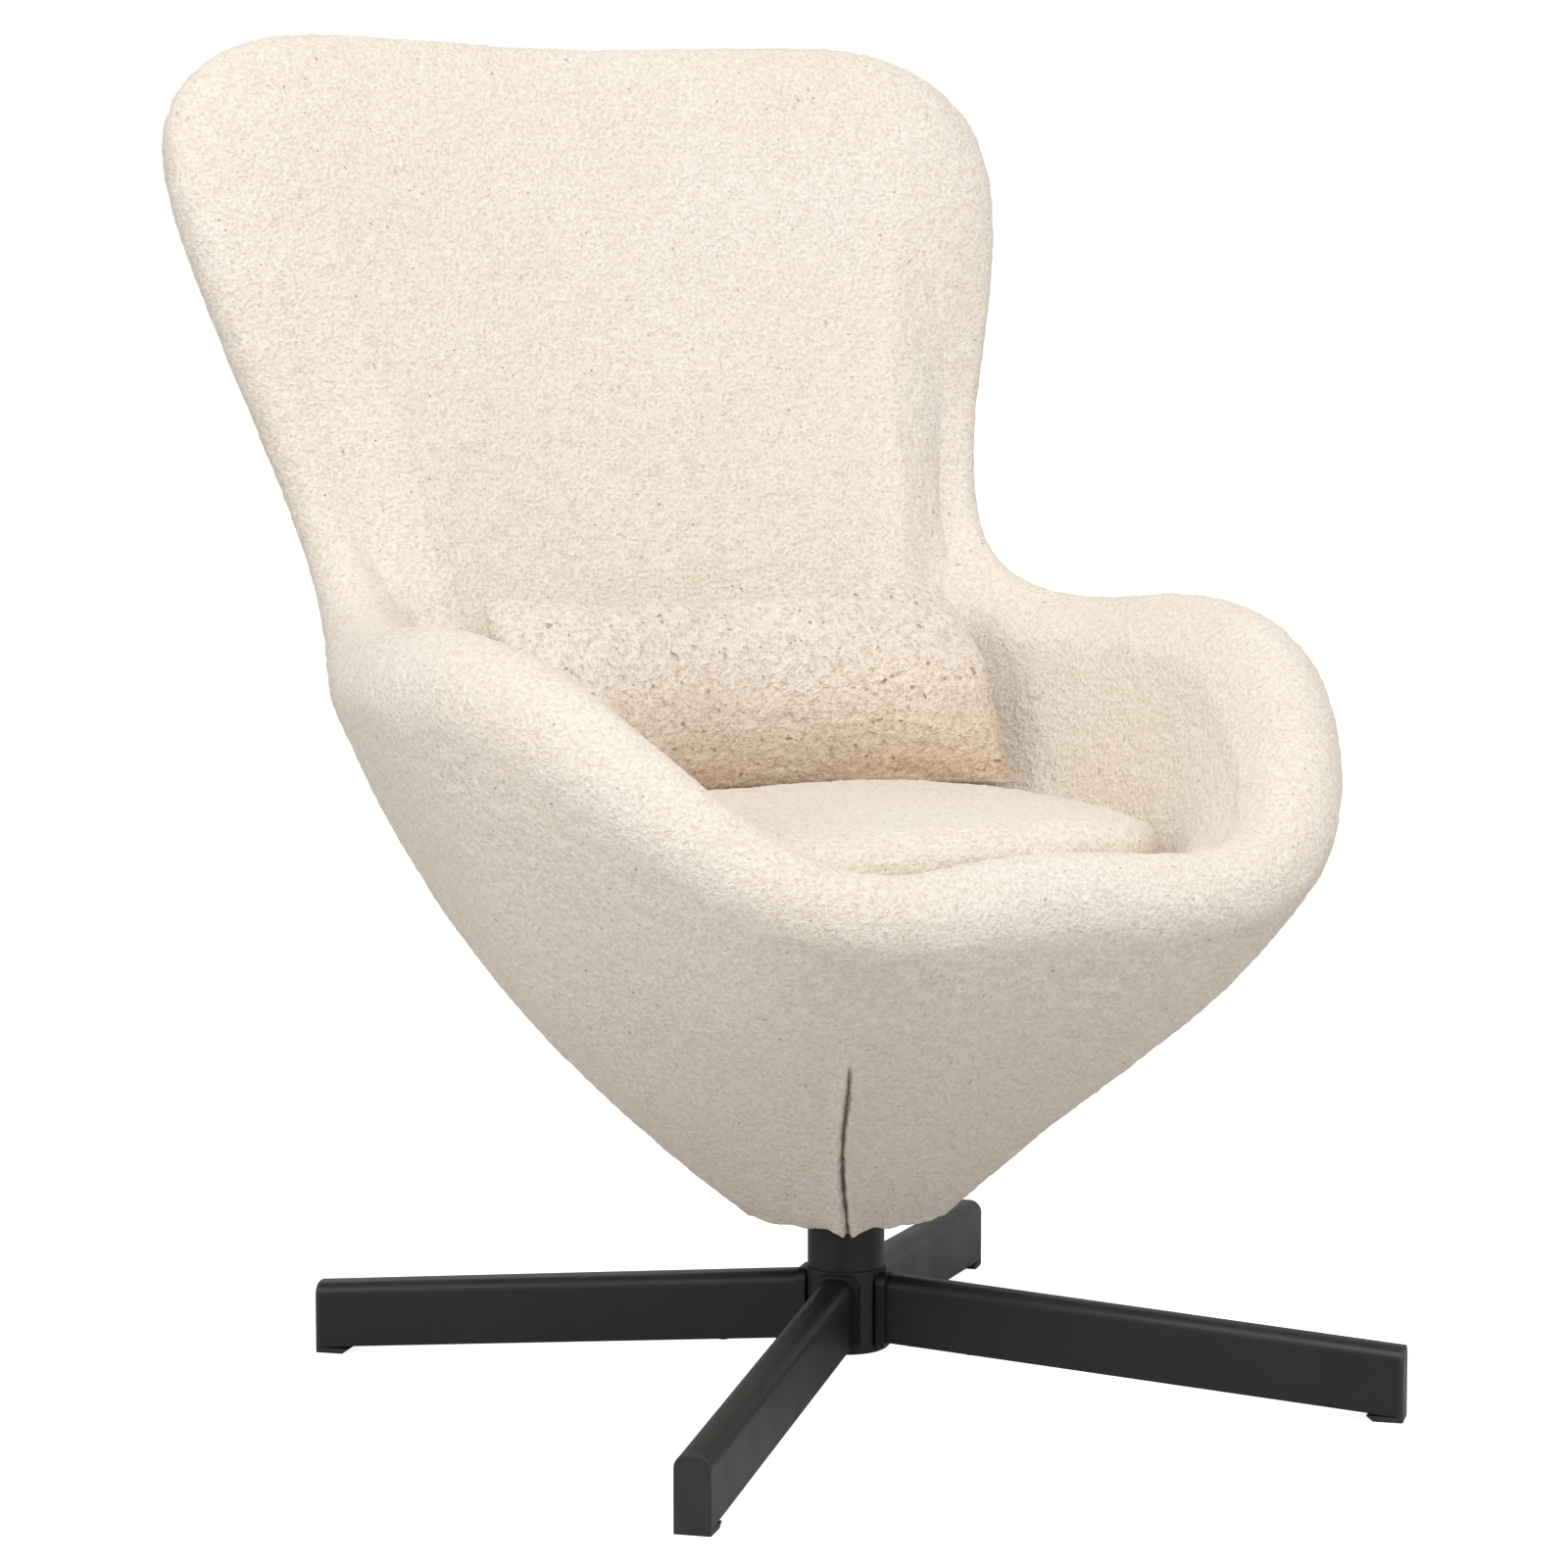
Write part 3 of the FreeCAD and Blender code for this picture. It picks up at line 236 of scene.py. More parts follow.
def sewingThread(name, thread):
    # twisted polyester thread: dark blue, with brown from the pile it lies in
    material, tree, shader, place = newMaterial(name)
    twist = addNode(tree, "ShaderNodeTexWave", {"bands_direction": "DIAGONAL"},
                    {"Vector": place, "Scale": 400, "Distortion": 2}).outputs[1]
    stain = addNode(tree, "ShaderNodeTexNoise", {}, {"Vector": place, "Scale": 1 / thread["stain"]})
    share = addNode(tree, "ShaderNodeMapRange", {}, {0: stain, 1: 0.4, 2: 0.65})
    colour = addNode(tree, "ShaderNodeMix", {"data_type": "RGBA"},
                     {0: share, 6: paint(thread["dark"]), 7: paint(thread["light"])}).outputs[2]
    relief = addNode(tree, "ShaderNodeBump", {}, {"Height": twist, "Distance": 0.15 * mm, "Strength": 0.8})
    feed(tree, shader, {"Base Color": colour, "Normal": relief, "Roughness": 0.7})
    return material


teddy = {
    "fibre": 1.3 * mm, "tuft": 3.4 * mm, "gap": 4.42 * mm, "clump": 13 * mm, "worn": 160 * mm,
    "pileDepth": 3.0 * mm, "clumpDepth": 1.4 * mm, "fibreShare": 0.35, "pitShare": 0.22,
    "pitFrom": 0.74, "pitFull": 0.81, "sheen": 0.2, "shade": "#e2d5c5", "body": "#f2e8da",
    "tip": "#fbf5eb", "pitShadeTint": "#b9a997", "wash": "#fbf7f1", "footShadeTint": "#e2d0bf", "grooveShadeTint": "#82776d",
}
lumbarPile = {**teddy,
    "fibre": 1.7 * mm, "tuft": 4.8 * mm, "gap": 6.24 * mm, "clump": 17 * mm,
    "pileDepth": 5.0 * mm, "clumpDepth": 2.2 * mm, "pitFrom": 0.69, "pitFull": 0.76,
    "shade": "#dacab9", "body": "#f3e8db", "tip": "#fcf6ed", "pitShadeTint": "#bda996", "wash": "#f8f1e8",
    "footShadeTint": "#efe3d7", "grooveShadeTint": "#a39284",
}
stitch = {"long": 3.8 * mm, "pitch": 4.8 * mm, "wide": 0.9 * mm, "stain": 6 * mm,
          "dark": "#565b64", "light": "#93837a"}
materials = {
    "cream_teddy_fabric": teddyFabric("creamTeddyFabric", teddy),
    "lumbar_pile_fabric": teddyFabric("lumbarPileFabric", lumbarPile),
    "black_powder_coat": paintedMetal("blackPowderCoat", {
        "dark": "#1b1d1e", "light": "#202223", "rough": (0.38, 0.47), "patch": 50 * mm,
        "peel": 1.4 * mm, "peelDepth": 0.06 * mm}),
    "black_nylon": mouldedPlastic("blackNylon", {
        "dark": "#1c1d1e", "light": "#222425", "rough": (0.45, 0.55), "grain": 0.7 * mm, "flow": 20 * mm}),
    "white_acetal": mouldedPlastic("naturalAcetal", {
        "dark": "#d9d5ca", "light": "#e8e5db", "rough": (0.35, 0.45), "grain": 0.7 * mm, "flow": 20 * mm}),
    "black_zinc_steel": turnedSteel("blackZincSteel", {
        "dark": "#303236", "light": "#4b4c4f", "rough": (0.32, 0.46), "ring": 0.8 * mm, "mark": 12 * mm}),
    "bearing_steel": turnedSteel("groundBearingSteel", {
        "dark": "#9a9da1", "light": "#c6c8ca", "rough": (0.14, 0.28), "ring": 0.6 * mm, "mark": 12 * mm}),
    "turned_steel": turnedSteel("turnedSteel", {
        "dark": "#85888b", "light": "#b3b5b7", "rough": (0.26, 0.4), "ring": 0.9 * mm, "mark": 12 * mm}),
    "birch_plywood": layeredBoard("birchPlywood", {
        "dark": "#c9a877", "light": "#e0c79c", "glue": "#7d5b38", "ply": 1.5 * mm, "figure": 3 * mm}),
    "moulded_shell": laminate("glassFibreLaminate", {
        "dark": "#8d8a7c", "light": "#b9b6a6", "strand": 9 * mm}),
    "black_dust_cloth": feltedCloth("blackDustCloth", {
        "dark": "#17181a", "light": "#2b2c2f", "dot": 2 * mm, "fibre": 1.2 * mm}),
    "stitchThread": sewingThread("stitchThread", stitch),
}
slotOf = {sub["node"]: sub["material_slot"] for sub in frame["record"]["subparts"]}
for name, node in frame["nodes"].items():
    material = materials.get(slotOf[name])
    if material is not None:
        for slot in node.material_slots:
            slot.material = material
print("materials made")


# Pod

pod = {
    # stations from the top of the back round to the lip: the roll's centre and radius, the way it
    # faces, and how far the outer and inner skins keep to it
    "stations": [
        ((0, 428, 955), 30, (0, 0.3, 1), (1, 1.25)),
        ((266, 416, 951), 34, (0.3, 0.31, 0.9), (0.64, 0.6)),
        ((321, 362, 831), 32, (0.92, -0.13, 0.4), (0.23, 0.7)),
        ((269, 281, 596), 24, (0.29, -0.27, 0.5), (0.24, 0.5)),
        ((300, 110, 513), 48, (0.42, -0.01, 0.91), (0.89, 0.75)),
        ((297, -89, 502), 46, (0.18, 0.03, 0.95), (1.19, 1)),
        ((186, -252, 395), 34, (0.21, -0.57, 0.77), (1.06, 1)),
        ((0, -252, 381), 40, (0, -0.51, 0.85), (1, 1)),
    ],
    "hemRadius": 76, "hemHigh": 131, "footSpread": 0.25,
    # the outer skin: degrees up from the hem and fullness, behind and in front, then at the sides and rim
    "slope": (20, 44), "swell": (0.30, 0.38), "swellSide": 0.10, "rimSwell": 0.385,
    # the inside: fullness under the rim and at the deck, its rise in degrees, how square the deck is
    "insideSwell": 0.30, "deckSwell": 0.16, "deckRise": 42, "deckSquare": 2.5,
    "deckHigh": 380, "deckHalf": (215, 200), "deckCentre": -15, "deckMiddle": 0.02,
    "around": 720, "outerRows": 230, "rollRows": 12, "innerRows": 150, "deckRows": 24,
    # where and how much the hollow of the back, and the bend from the roll to the deck, are eased
    "easeStep": 4, "easeRounds": 100, "easeRows": 44, "easeDeep": (20, 150), "easeHigh": (430, 590),
    "bendRounds": 60, "bendRows": 14, "easeShare": 0.9, "easeNear": 0.3,
    "thick": 3.2, "liningStep": 4,
    "dartAngles": (31, -149),  # degrees off the front; one in view, one opposite it behind
    "dartHigh": 286, "dartFade": 26, "dartWidth": 2.2, "dartDepth": 6.2, "dartSway": 2.6, "swayLong": 30,
    "lipWidth": 7, "lipRise": 4.2, "crowd": 4, "crowdWide": 3.5,
    "threadFrom": 3, "threadStop": 9, "threadLift": 1.4,
    "hemDip": 4.0, "dipHigh": 20, "dipWidth": 11,
    "hemScallop": 0.5, "scallopHigh": 14, "scallops": (15, 23), "hemPleats": 31, "pleatDepth": 0.25,
    "hemTurn": [(-12, 4.6), (-10.5, 2.2), (-7, 0.2), (-2.5, -0.9)],  # outwards and up from the hem
    "pile": {"Ripple size": 38 * mm, "Ripple height": 2.2 * mm, "Curl size": 9 * mm, "Curl height": 1.6 * mm},
}


def smoothStep(values, low, high):
    share = np.clip((values - low) / (high - low), 0, 1)
    return share * share * (3 - 2 * share)


def closedPoles(values):  # poles of the smooth closed cubic through evenly numbered values
    count = len(values)
    band = np.eye(count) * 4 + np.roll(np.eye(count), 1, 0) + np.roll(np.eye(count), -1, 0)
    return np.linalg.solve(band / 6, np.asarray(values, float).reshape(count, -1)).reshape(np.shape(values))


def alongPoles(poles, places):  # value and rate at places counted in poles
    whole = np.floor(places).astype(int)
    t = (places - whole).reshape((-1,) + (1,) * (poles.ndim - 1))
    a, b, c, d = (poles[(whole + k) % len(poles)] for k in (-1, 0, 1, 2))
    value = ((1 - t) ** 3 * a + (3 * t ** 3 - 6 * t ** 2 + 4) * b
             + (-3 * t ** 3 + 3 * t ** 2 + 3 * t + 1) * c + t ** 3 * d) / 6
    rate = (-(1 - t) ** 2 * a + (3 * t ** 2 - 4 * t) * b + (-3 * t ** 2 + 2 * t + 1) * c + t ** 2 * d) / 2
    return value, rate


def unit(vectors):
    return vectors / np.linalg.norm(vectors, axis=-1, keepdims=True)


def podPoles():  # the poles of the outer, roll and inner profiles at 28 places round the rim
    stations = pod["stations"]
    both = stations + stations[-2:0:-1]
    side = np.array([1] * len(stations) + [-1] * (len(stations) - 2))
    centres = np.array([s[0] for s in both], float)
    facings = np.array([s[2] for s in both], float)
    centres[:, 0] *= side
    facings[:, 0] *= side
    others = np.array([(s[1],) + s[3] for s in both], float)
    count = 2 * len(both)
    places = np.arange(count) / 2
    centre, along = alongPoles(closedPoles(centres), places)
    along = unit(along)
    facing = alongPoles(closedPoles(facings), places)[0]
    rolls, outerHold, innerHold = alongPoles(closedPoles(others), places)[0].T[:, :, None]
    facing = unit(facing - along * (facing * along).sum(1, keepdims=True))
    outward = unit(np.cross(facing, along))
    at = np.arange(count) / count
    hand = np.where(at <= 0.5, 1, -1)
    fromBack = np.minimum(at, 1 - at) * 2
    rimAngle = np.arctan2(centre[:, 1], hand * centre[:, 0])
    angle = rimAngle + (math.pi * (0.5 - fromBack) - rimAngle) * pod["footSpread"]
    radial = np.stack([hand * np.cos(angle), np.sin(angle), 0 * angle], 1)
    ahead = np.sin(math.pi / 2 * fromBack)
    slope = np.radians(pod["slope"][0] + (pod["slope"][1] - pod["slope"][0]) * ahead)[:, None]
    swell = (pod["swell"][0] + (pod["swell"][1] - pod["swell"][0]) * ahead
             + pod["swellSide"] * np.sin(math.pi * fromBack))[:, None]
    up = np.array([0, 0, 1.0])
    hem = radial * pod["hemRadius"] + up * pod["hemHigh"]
    rimOut = centre + outward * rolls
    length = np.linalg.norm(rimOut - hem, axis=1, keepdims=True)
    lie = radial * np.cos(slope) + up * np.sin(slope)
    outer = [hem, hem + lie * length * swell, rimOut - facing * length * outerHold * pod["rimSwell"], rimOut]
    pull = rolls * 4 / 3 * (math.sqrt(2) - 1)
    crest = centre + facing * rolls
    rimIn = centre - outward * rolls
    rollOut = [rimOut, rimOut + facing * pull, crest + outward * pull, crest]
    rollIn = [crest, crest - outward * pull, rimIn + facing * pull, rimIn]
    squared = np.sign(radial) * np.abs(radial) ** (2 / pod["deckSquare"])
    across = squared * np.array([pod["deckHalf"][0], pod["deckHalf"][1], 0])
    deck = across + np.array([0, pod["deckCentre"], pod["deckHigh"]])
    length = np.linalg.norm(rimIn - deck, axis=1, keepdims=True)
    rise = math.radians(pod["deckRise"])
    lie = unit(across) * math.cos(rise) + up * math.sin(rise)
    inner = [rimIn, rimIn - facing * length * innerHold * pod["insideSwell"],
             deck + lie * length * pod["deckSwell"], deck]
    return [np.stack(poles, 1) for poles in (outer, rollOut, rollIn, inner)]


def profilePoints(poles, places, rows):  # a grid of points, places round the rim by rows up the profile
    net = alongPoles(closedPoles(poles), places)[0]
    t = np.linspace(0, 1, rows + 1)[None, :, None]
    a, b, c, d = (net[:, k, None] for k in range(4))
    return a * (1 - t) ** 3 + 3 * b * t * (1 - t) ** 2 + 3 * c * t * t * (1 - t) + d * t ** 3


def gridNormals(grid):
    around = np.roll(grid, -1, 0) - np.roll(grid, 1, 0)
    upward = np.gradient(grid, axis=1)
    return unit(np.cross(upward, around) + 1e-12)


def newPiece(name, points, edges, faces):  # points in millimetres
    mesh = bpy.data.meshes.new(name)
    mesh.from_pydata([[c * mm for c in p] for p in points], edges, faces)
    made = bpy.data.objects.new(name, mesh)
    bpy.context.scene.collection.objects.link(made)
    return made


def meshFromGrid(name, grid, capStart, capEnd):  # a grid closed round its first axis; caps are fans
    around, rows = grid.shape[:2]
    index = np.arange(around * rows).reshape(around, rows)
    following = np.roll(index, -1, 0)
    corners = [index[:, :-1], index[:, 1:], following[:, 1:], following[:, :-1]]
    faces = np.stack(corners, -1).reshape(-1, 4).tolist()
    points = grid.reshape(-1, 3).tolist()
    for wanted, ends, turned in ((capStart, index[:, 0], True), (capEnd, index[:, -1], False)):
        if wanted:
            points.append(grid[:, 0 if turned else -1].mean(0).tolist())
            middle = len(points) - 1
            for a, b in zip(ends.tolist(), np.roll(ends, -1).tolist()):
                faces.append([a, b, middle] if turned else [b, a, middle])
    return newPiece(name, points, [], faces)


def dartSway(height):  # sideways wander of the sewn line
    return pod["dartSway"] * np.sin((height - pod["hemHigh"]) / pod["swayLong"] - 0.5)


def shapeDarts(grid, normals):  # press in the darts that take up the fabric low on the pod
    shade = np.zeros(grid.shape[:2])
    angle = np.degrees(np.arctan2(grid[..., 0], -grid[..., 1]))
    radius = np.hypot(grid[..., 0], grid[..., 1])
    height = grid[..., 2]
    for dart in pod["dartAngles"]:
        aside = radius * np.radians(angle + dart) + dartSway(height)
        fade = 1 - smoothStep(height, pod["dartHigh"] - pod["dartFade"], pod["dartHigh"])
        groove = np.exp(-(aside / pod["dartWidth"]) ** 2)
        lips = np.exp(-(aside / pod["lipWidth"]) ** 2)
        grid += normals * ((lips * pod["lipRise"] - groove * pod["dartDepth"]) * fade)[..., None]
        near = np.clip(1 - (height - pod["hemHigh"]) / pod["dipHigh"], 0, 1)
        grid[..., 2] -= pod["hemDip"] * near * np.exp(-(aside / pod["dipWidth"]) ** 2)
        # a painted shade line along the bottom of each dart
        line = np.exp(-(aside / (pod["dartWidth"] / 2)) ** 2)
        shade = np.maximum(shade, line * np.clip(fade * 1.5, 0, 1))
    return shade


def ease(grid, share, rounds):  # draw points towards their four neighbours, most to the nearest
    for _ in range(rounds):
        beside = [np.roll(grid, 1, 0), np.roll(grid, -1, 0),
                  np.concatenate([grid[:, :1], grid[:, :-1]], 1),
                  np.concatenate([grid[:, 1:], grid[:, -1:]], 1)]
        near = [1 / np.maximum(np.linalg.norm(b - grid, axis=-1, keepdims=True), pod["easeNear"])
                for b in beside]
        grid = grid + (sum(b * n for b, n in zip(beside, near)) / sum(near) - grid) * share
    return grid


def easeBack(grid, crest, step):  # fill the folds inside the back, worked out on every step-th point
    coarse = grid[::step, ::step]
    row = np.arange(coarse.shape[1]) * step
    share = pod["easeShare"] * smoothStep(row, crest, crest + pod["easeRows"])
    share = share * smoothStep(coarse[..., 1], *pod["easeDeep"])
    share *= smoothStep(coarse[..., 2], *pod["easeHigh"])
    shift = ease(coarse, share[..., None], pod["easeRounds"]) - coarse
    shift = np.concatenate([shift, shift[:1]], 0)

    def spread(values, at, axis):
        low = np.minimum(np.floor(at).astype(int), values.shape[axis] - 2)
        part = (at - low).reshape((-1, 1, 1) if axis == 0 else (1, -1, 1))
        return np.take(values, low, axis) * (1 - part) + np.take(values, low + 1, axis) * part

    rows = np.minimum(np.arange(grid.shape[1]) / step, coarse.shape[1] - 1)
    return grid + spread(spread(shift, np.arange(grid.shape[0]) / step, 0), rows, 1)


def easeBends(grid, crest, last, soft, rounds):  # round off the bend from the roll down to the deck
    row = np.arange(grid.shape[1])
    share = pod["easeShare"] * smoothStep(row, crest, crest + soft) * smoothStep(-row, -last, soft - last)
    return ease(grid, share[None, :, None], rounds)


def crowdedPlaces(outer, around):  # places round the rim, closer together at the darts
    many = np.linspace(0, len(outer), 4001)
    low = profilePoints(outer, many, 8)[:, 2]
    angle = np.degrees(np.arctan2(low[:, 0], -low[:, 1]))
    crowd = 1 + pod["crowd"] * sum(np.exp(-((angle + dart) / pod["crowdWide"]) ** 2)
                                   for dart in pod["dartAngles"])
    total = np.concatenate([[0], np.cumsum((crowd[1:] + crowd[:-1]) / 2)])
    return np.interp(np.arange(around) / around * total[-1], total, many)


def dartLines(grid):  # points along the bottom of each dart, from the hem up
    lines = []
    angle = np.degrees(np.arctan2(grid[..., 0], -grid[..., 1]))
    radius = np.hypot(grid[..., 0], grid[..., 1])
    for dart in pod["dartAngles"]:
        aside = radius * np.radians(angle + dart) + dartSway(grid[..., 2])
        column = np.abs(aside).argmin(0)
        line = grid[column, np.arange(grid.shape[1])]
        lines.append(line[line[:, 2] < pod["dartHigh"] - pod["threadStop"]])
    return lines


def storeShade(made, name, values):  # an attribute that a material reads
    attribute = made.data.attributes.new(name, "FLOAT", "POINT")
    attribute.data.foreach_set("value", values.astype(np.float32))


def smoothShade(made):
    made.data.polygons.foreach_set("use_smooth", [True] * len(made.data.polygons))
    made.data.update()


def makePod():  # the padded cover with its lining, and the lines to sew along
    dense = 1
    around = int(pod["around"] * dense)
    rows = {k: max(4, int(pod[k] * dense)) for k in ("outerRows", "rollRows", "innerRows", "deckRows")}
    outer, rollOut, rollIn, inner = podPoles()
    places = crowdedPlaces(outer, around)
    parts = [profilePoints(outer, places, rows["outerRows"])[:, :-1],
             profilePoints(rollOut, places, rows["rollRows"])[:, :-1],
             profilePoints(rollIn, places, rows["rollRows"])[:, :-1],
             profilePoints(inner, places, rows["innerRows"])]
    edge = parts[-1][:, -1:]
    middle = edge.mean(0, keepdims=True)
    shares = np.linspace(1, pod["deckMiddle"], rows["deckRows"] + 1)[1:, None]
    parts.append(middle + (edge - middle) * shares)
    grid = np.concatenate(parts, 1)
    crest = rows["outerRows"] + rows["rollRows"]
    last = crest + rows["rollRows"] + rows["innerRows"] + rows["deckRows"] // 2
    grid = easeBack(grid, crest, int(pod["easeStep"] * dense))
    grid = easeBends(grid, crest, last, pod["bendRows"] * dense, int(pod["bendRounds"] * dense))
    normals = gridNormals(grid)
    plain = grid - normals * pod["thick"]
    shade = shapeDarts(grid, normals)
    threads = dartLines((grid + normals * pod["threadLift"])[:, pod["threadFrom"]:rows["outerRows"]])
    angle = np.arctan2(grid[..., 0], -grid[..., 1])
    near = np.clip(1 - (grid[..., 2] - pod["hemHigh"]) / pod["scallopHigh"], 0, 1)
    near[:, rows["outerRows"]:] = 0
    broad, narrow = pod["scallops"]
    grid[..., 2] += pod["hemScallop"] * near * (np.sin(angle * broad) + 0.5 * np.sin(angle * narrow + 1))
    # the hem turns under and is drawn in above the dust cloth
    hem = grid[:, :1]
    radial = unit(hem * np.array([1, 1, 0]))
    pleats = np.sin(angle[:, :1, None] * pod["hemPleats"]) * pod["pleatDepth"]
    under = [hem + radial * (outwards + pleats * k) + np.array([0, 0, rise])
             for k, (outwards, rise) in enumerate(pod["hemTurn"])]
    grid = np.concatenate(under + [grid], 1)
    shade = np.concatenate([np.zeros((around, len(under))), shade], 1)
    lining = plain[:, ::pod["liningStep"]]
    lining[:, 0] = grid[:, 0] + np.array([0, 0, pod["thick"]])
    whole = np.concatenate([lining[:, ::-1], grid], 1)
    shade = np.concatenate([np.zeros(lining.shape[:2]), shade], 1)
    made = meshFromGrid("podCover", whole, True, True)
    storeShade(made, "seamShade", np.append(shade.reshape(-1), [0, 0]))
    return made, threads


def newTree(name, sizes):  # a tree that takes geometry, named sizes and a material
    tree = bpy.data.node_groups.new(name, "GeometryNodeTree")
    sockets = [("Geometry", "NodeSocketGeometry"), *((size, "NodeSocketFloat") for size in sizes),
               ("Material", "NodeSocketMaterial")]
    for label, kind in sockets:
        tree.interface.new_socket(label, in_out="INPUT", socket_type=kind)
    tree.interface.new_socket("Geometry", in_out="OUTPUT", socket_type="NodeSocketGeometry")
    return tree, addNode(tree, "NodeGroupInput").outputs


def closeTree(tree, geometry, given):
    real = addNode(tree, "GeometryNodeRealizeInstances", {}, {0: geometry})
    dressed = addNode(tree, "GeometryNodeSetMaterial", {}, {"Geometry": real, "Material": given["Material"]})
    addNode(tree, "NodeGroupOutput", {}, {"Geometry": dressed})


def pileTree():  # moves a surface along its normals in soft ripples and curls
    tree, given = newTree("teddyPile", ("Ripple size", "Ripple height", "Curl size", "Curl height"))
    place = addNode(tree, "GeometryNodeInputPosition")
    normal = addNode(tree, "GeometryNodeInputNormal")
    scale = {size: addNode(tree, "ShaderNodeMath", {"operation": "DIVIDE"}, {0: 1, 1: given[size]})
             for size in ("Ripple size", "Curl size")}
    ripple = addNode(tree, "ShaderNodeTexNoise", {},
                     {"Vector": place, "Scale": scale["Ripple size"], "Detail": 1})
    ripple = addNode(tree, "ShaderNodeMath", {"operation": "SUBTRACT"}, {0: ripple, 1: 0.5})
    curl = addNode(tree, "ShaderNodeTexVoronoi", {"feature": "SMOOTH_F1"},
                   {"Vector": place, "Scale": scale["Curl size"], "Smoothness": 0.4})
    curl = addNode(tree, "ShaderNodeMath", {"operation": "SUBTRACT"}, {0: 0.45, 1: curl})
    high = addNode(tree, "ShaderNodeMath", {"operation": "MULTIPLY"}, {0: ripple, 1: given["Ripple height"]})
    both = addNode(tree, "ShaderNodeMath", {"operation": "MULTIPLY_ADD"},
                   {0: curl, 1: given["Curl height"], 2: high})
    shift = addNode(tree, "ShaderNodeVectorMath", {"operation": "SCALE"}, {0: normal, "Scale": both})
    moved = addNode(tree, "GeometryNodeSetPosition", {}, {"Geometry": given["Geometry"], "Offset": shift})
    closeTree(tree, moved, given)
    return tree


def applyTree(made, tree, values):  # run a node tree on a piece and keep the result as its mesh
    modifier = made.modifiers.new(tree.name, "NODES")
    modifier.node_group = tree
    for item in tree.interface.items_tree:
        if item.in_out == "INPUT" and item.name in values:
            modifier[item.identifier] = values[item.name]
    seen = made.evaluated_get(bpy.context.evaluated_depsgraph_get())
    mesh = bpy.data.meshes.new_from_object(seen)
    made.modifiers.remove(modifier)
    made.data = mesh
    mesh.name = made.name
    smoothShade(made)


pile = pileTree()
podCover, threads = makePod()
podCover.data.materials.append(materials["cream_teddy_fabric"])
applyTree(podCover, pile, {**pod["pile"], "Material": materials["cream_teddy_fabric"]})
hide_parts("pod_cover", "outer_foam", "inner_foam", "seat_block")
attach(podCover, "pod")
print("pod cover made")


def stitchTree():  # sews a row of stitches along every line of edges
    tree, given = newTree("stitches", ("Pitch", "Long", "Wide"))
    line = addNode(tree, "GeometryNodeMeshToCurve", {}, {0: given["Geometry"]})
    even = addNode(tree, "GeometryNodeResampleCurve", {"mode": "LENGTH"},
                   {"Curve": line, "Length": given["Pitch"]})
    bead = addNode(tree, "GeometryNodeMeshUVSphere", {}, {"Segments": 10, "Rings": 8, "Radius": 0.5})
    along = addNode(tree, "GeometryNodeInputTangent")
    turn = addNode(tree, "FunctionNodeAlignRotationToVector", {"axis": "Z"}, {"Vector": along})
    size = addNode(tree, "ShaderNodeCombineXYZ", {}, {0: given["Wide"], 1: given["Wide"], 2: given["Long"]})
    sewn = addNode(tree, "GeometryNodeInstanceOnPoints", {},
                   {"Points": even, "Instance": bead, "Rotation": turn, "Scale": size})
    closeTree(tree, sewn, given)
    return tree


def makeThreads(lines):
    points, edges = [], []
    for line in lines:
        first = len(points)
        points += line.tolist()
        edges += [(k, k + 1) for k in range(first, len(points) - 1)]
    made = newPiece("dartStitches", points, edges, [])
    applyTree(made, stitchTree(), {"Pitch": stitch["pitch"], "Long": stitch["long"], "Wide": stitch["wide"],
                                   "Material": materials["stitchThread"]})
    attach(made, "pod")


makeThreads(threads)
print("dart stitches made")


# Loose cushions

cushions = {
    "seatCushion": {
        "from": "seat_cushion_filling", "replaces": ("seat_cushion_cover", "seat_cushion_filling"),
        "body": "seat_cushion", "slot": "cream_teddy_fabric", "voxel": 5 * mm, "pressure": 4.0,
        "cap": 5 * mm, "skin": 1.5 * mm, "fill": 0.7,
        "sink": 0.86,  # how much of its height it keeps on the deck
        "pile": {"Ripple size": 45 * mm, "Ripple height": 2.5 * mm,
                 "Curl size": 8 * mm, "Curl height": 1.4 * mm}},
    "lumbarCushion": {
        "from": "lumbar_cushion_filling", "replaces": ("lumbar_cushion_cover", "lumbar_cushion_filling"),
        "body": "lumbar_cushion", "slot": "lumbar_pile_fabric", "voxel": 5 * mm, "pressure": 4.0,
        "cap": 8 * mm, "skin": 1.5 * mm, "fill": 0.75,
        # its foot sags onto the seat pad, and towards it the pile gets a warm painted shade
        "sag": 22 * mm, "sagHigh": 90 * mm, "sagSoft": 60 * mm, "settle": 8 * mm,
        "shadeHigh": 75 * mm, "shadeSoft": 70 * mm,
        "pile": {"Ripple size": 40 * mm, "Ripple height": 3 * mm,
                 "Curl size": 7 * mm, "Curl height": 1.8 * mm}},
}
puffCloth = {"tension_stiffness": 12, "bending_stiffness": 0.8, "quality": 5}
puffFrames = 20


def select(made):
    bpy.ops.object.select_all(action="DESELECT")
    made.select_set(True)
    bpy.context.view_layer.objects.active = made


def copyOfNode(name, node):  # a merged copy, because a CAD node's own mesh is loose triangles
    mesh = frame["nodes"][node].data.copy()
    mesh.name = name
    made = bpy.data.objects.new(name, mesh)
    bpy.context.scene.collection.objects.link(made)
    work = bmesh.new()
    work.from_mesh(mesh)
    bmesh.ops.remove_doubles(work, verts=work.verts, dist=1e-5)
    bmesh.ops.recalc_face_normals(work, faces=work.faces)
    work.to_mesh(mesh)
    work.free()
    return made


def meshPoints(mesh, name="co"):
    points = np.zeros(len(mesh.vertices) * 3, np.float32)
    mesh.vertices.foreach_get(name, points)
    return points.reshape(-1, 3)


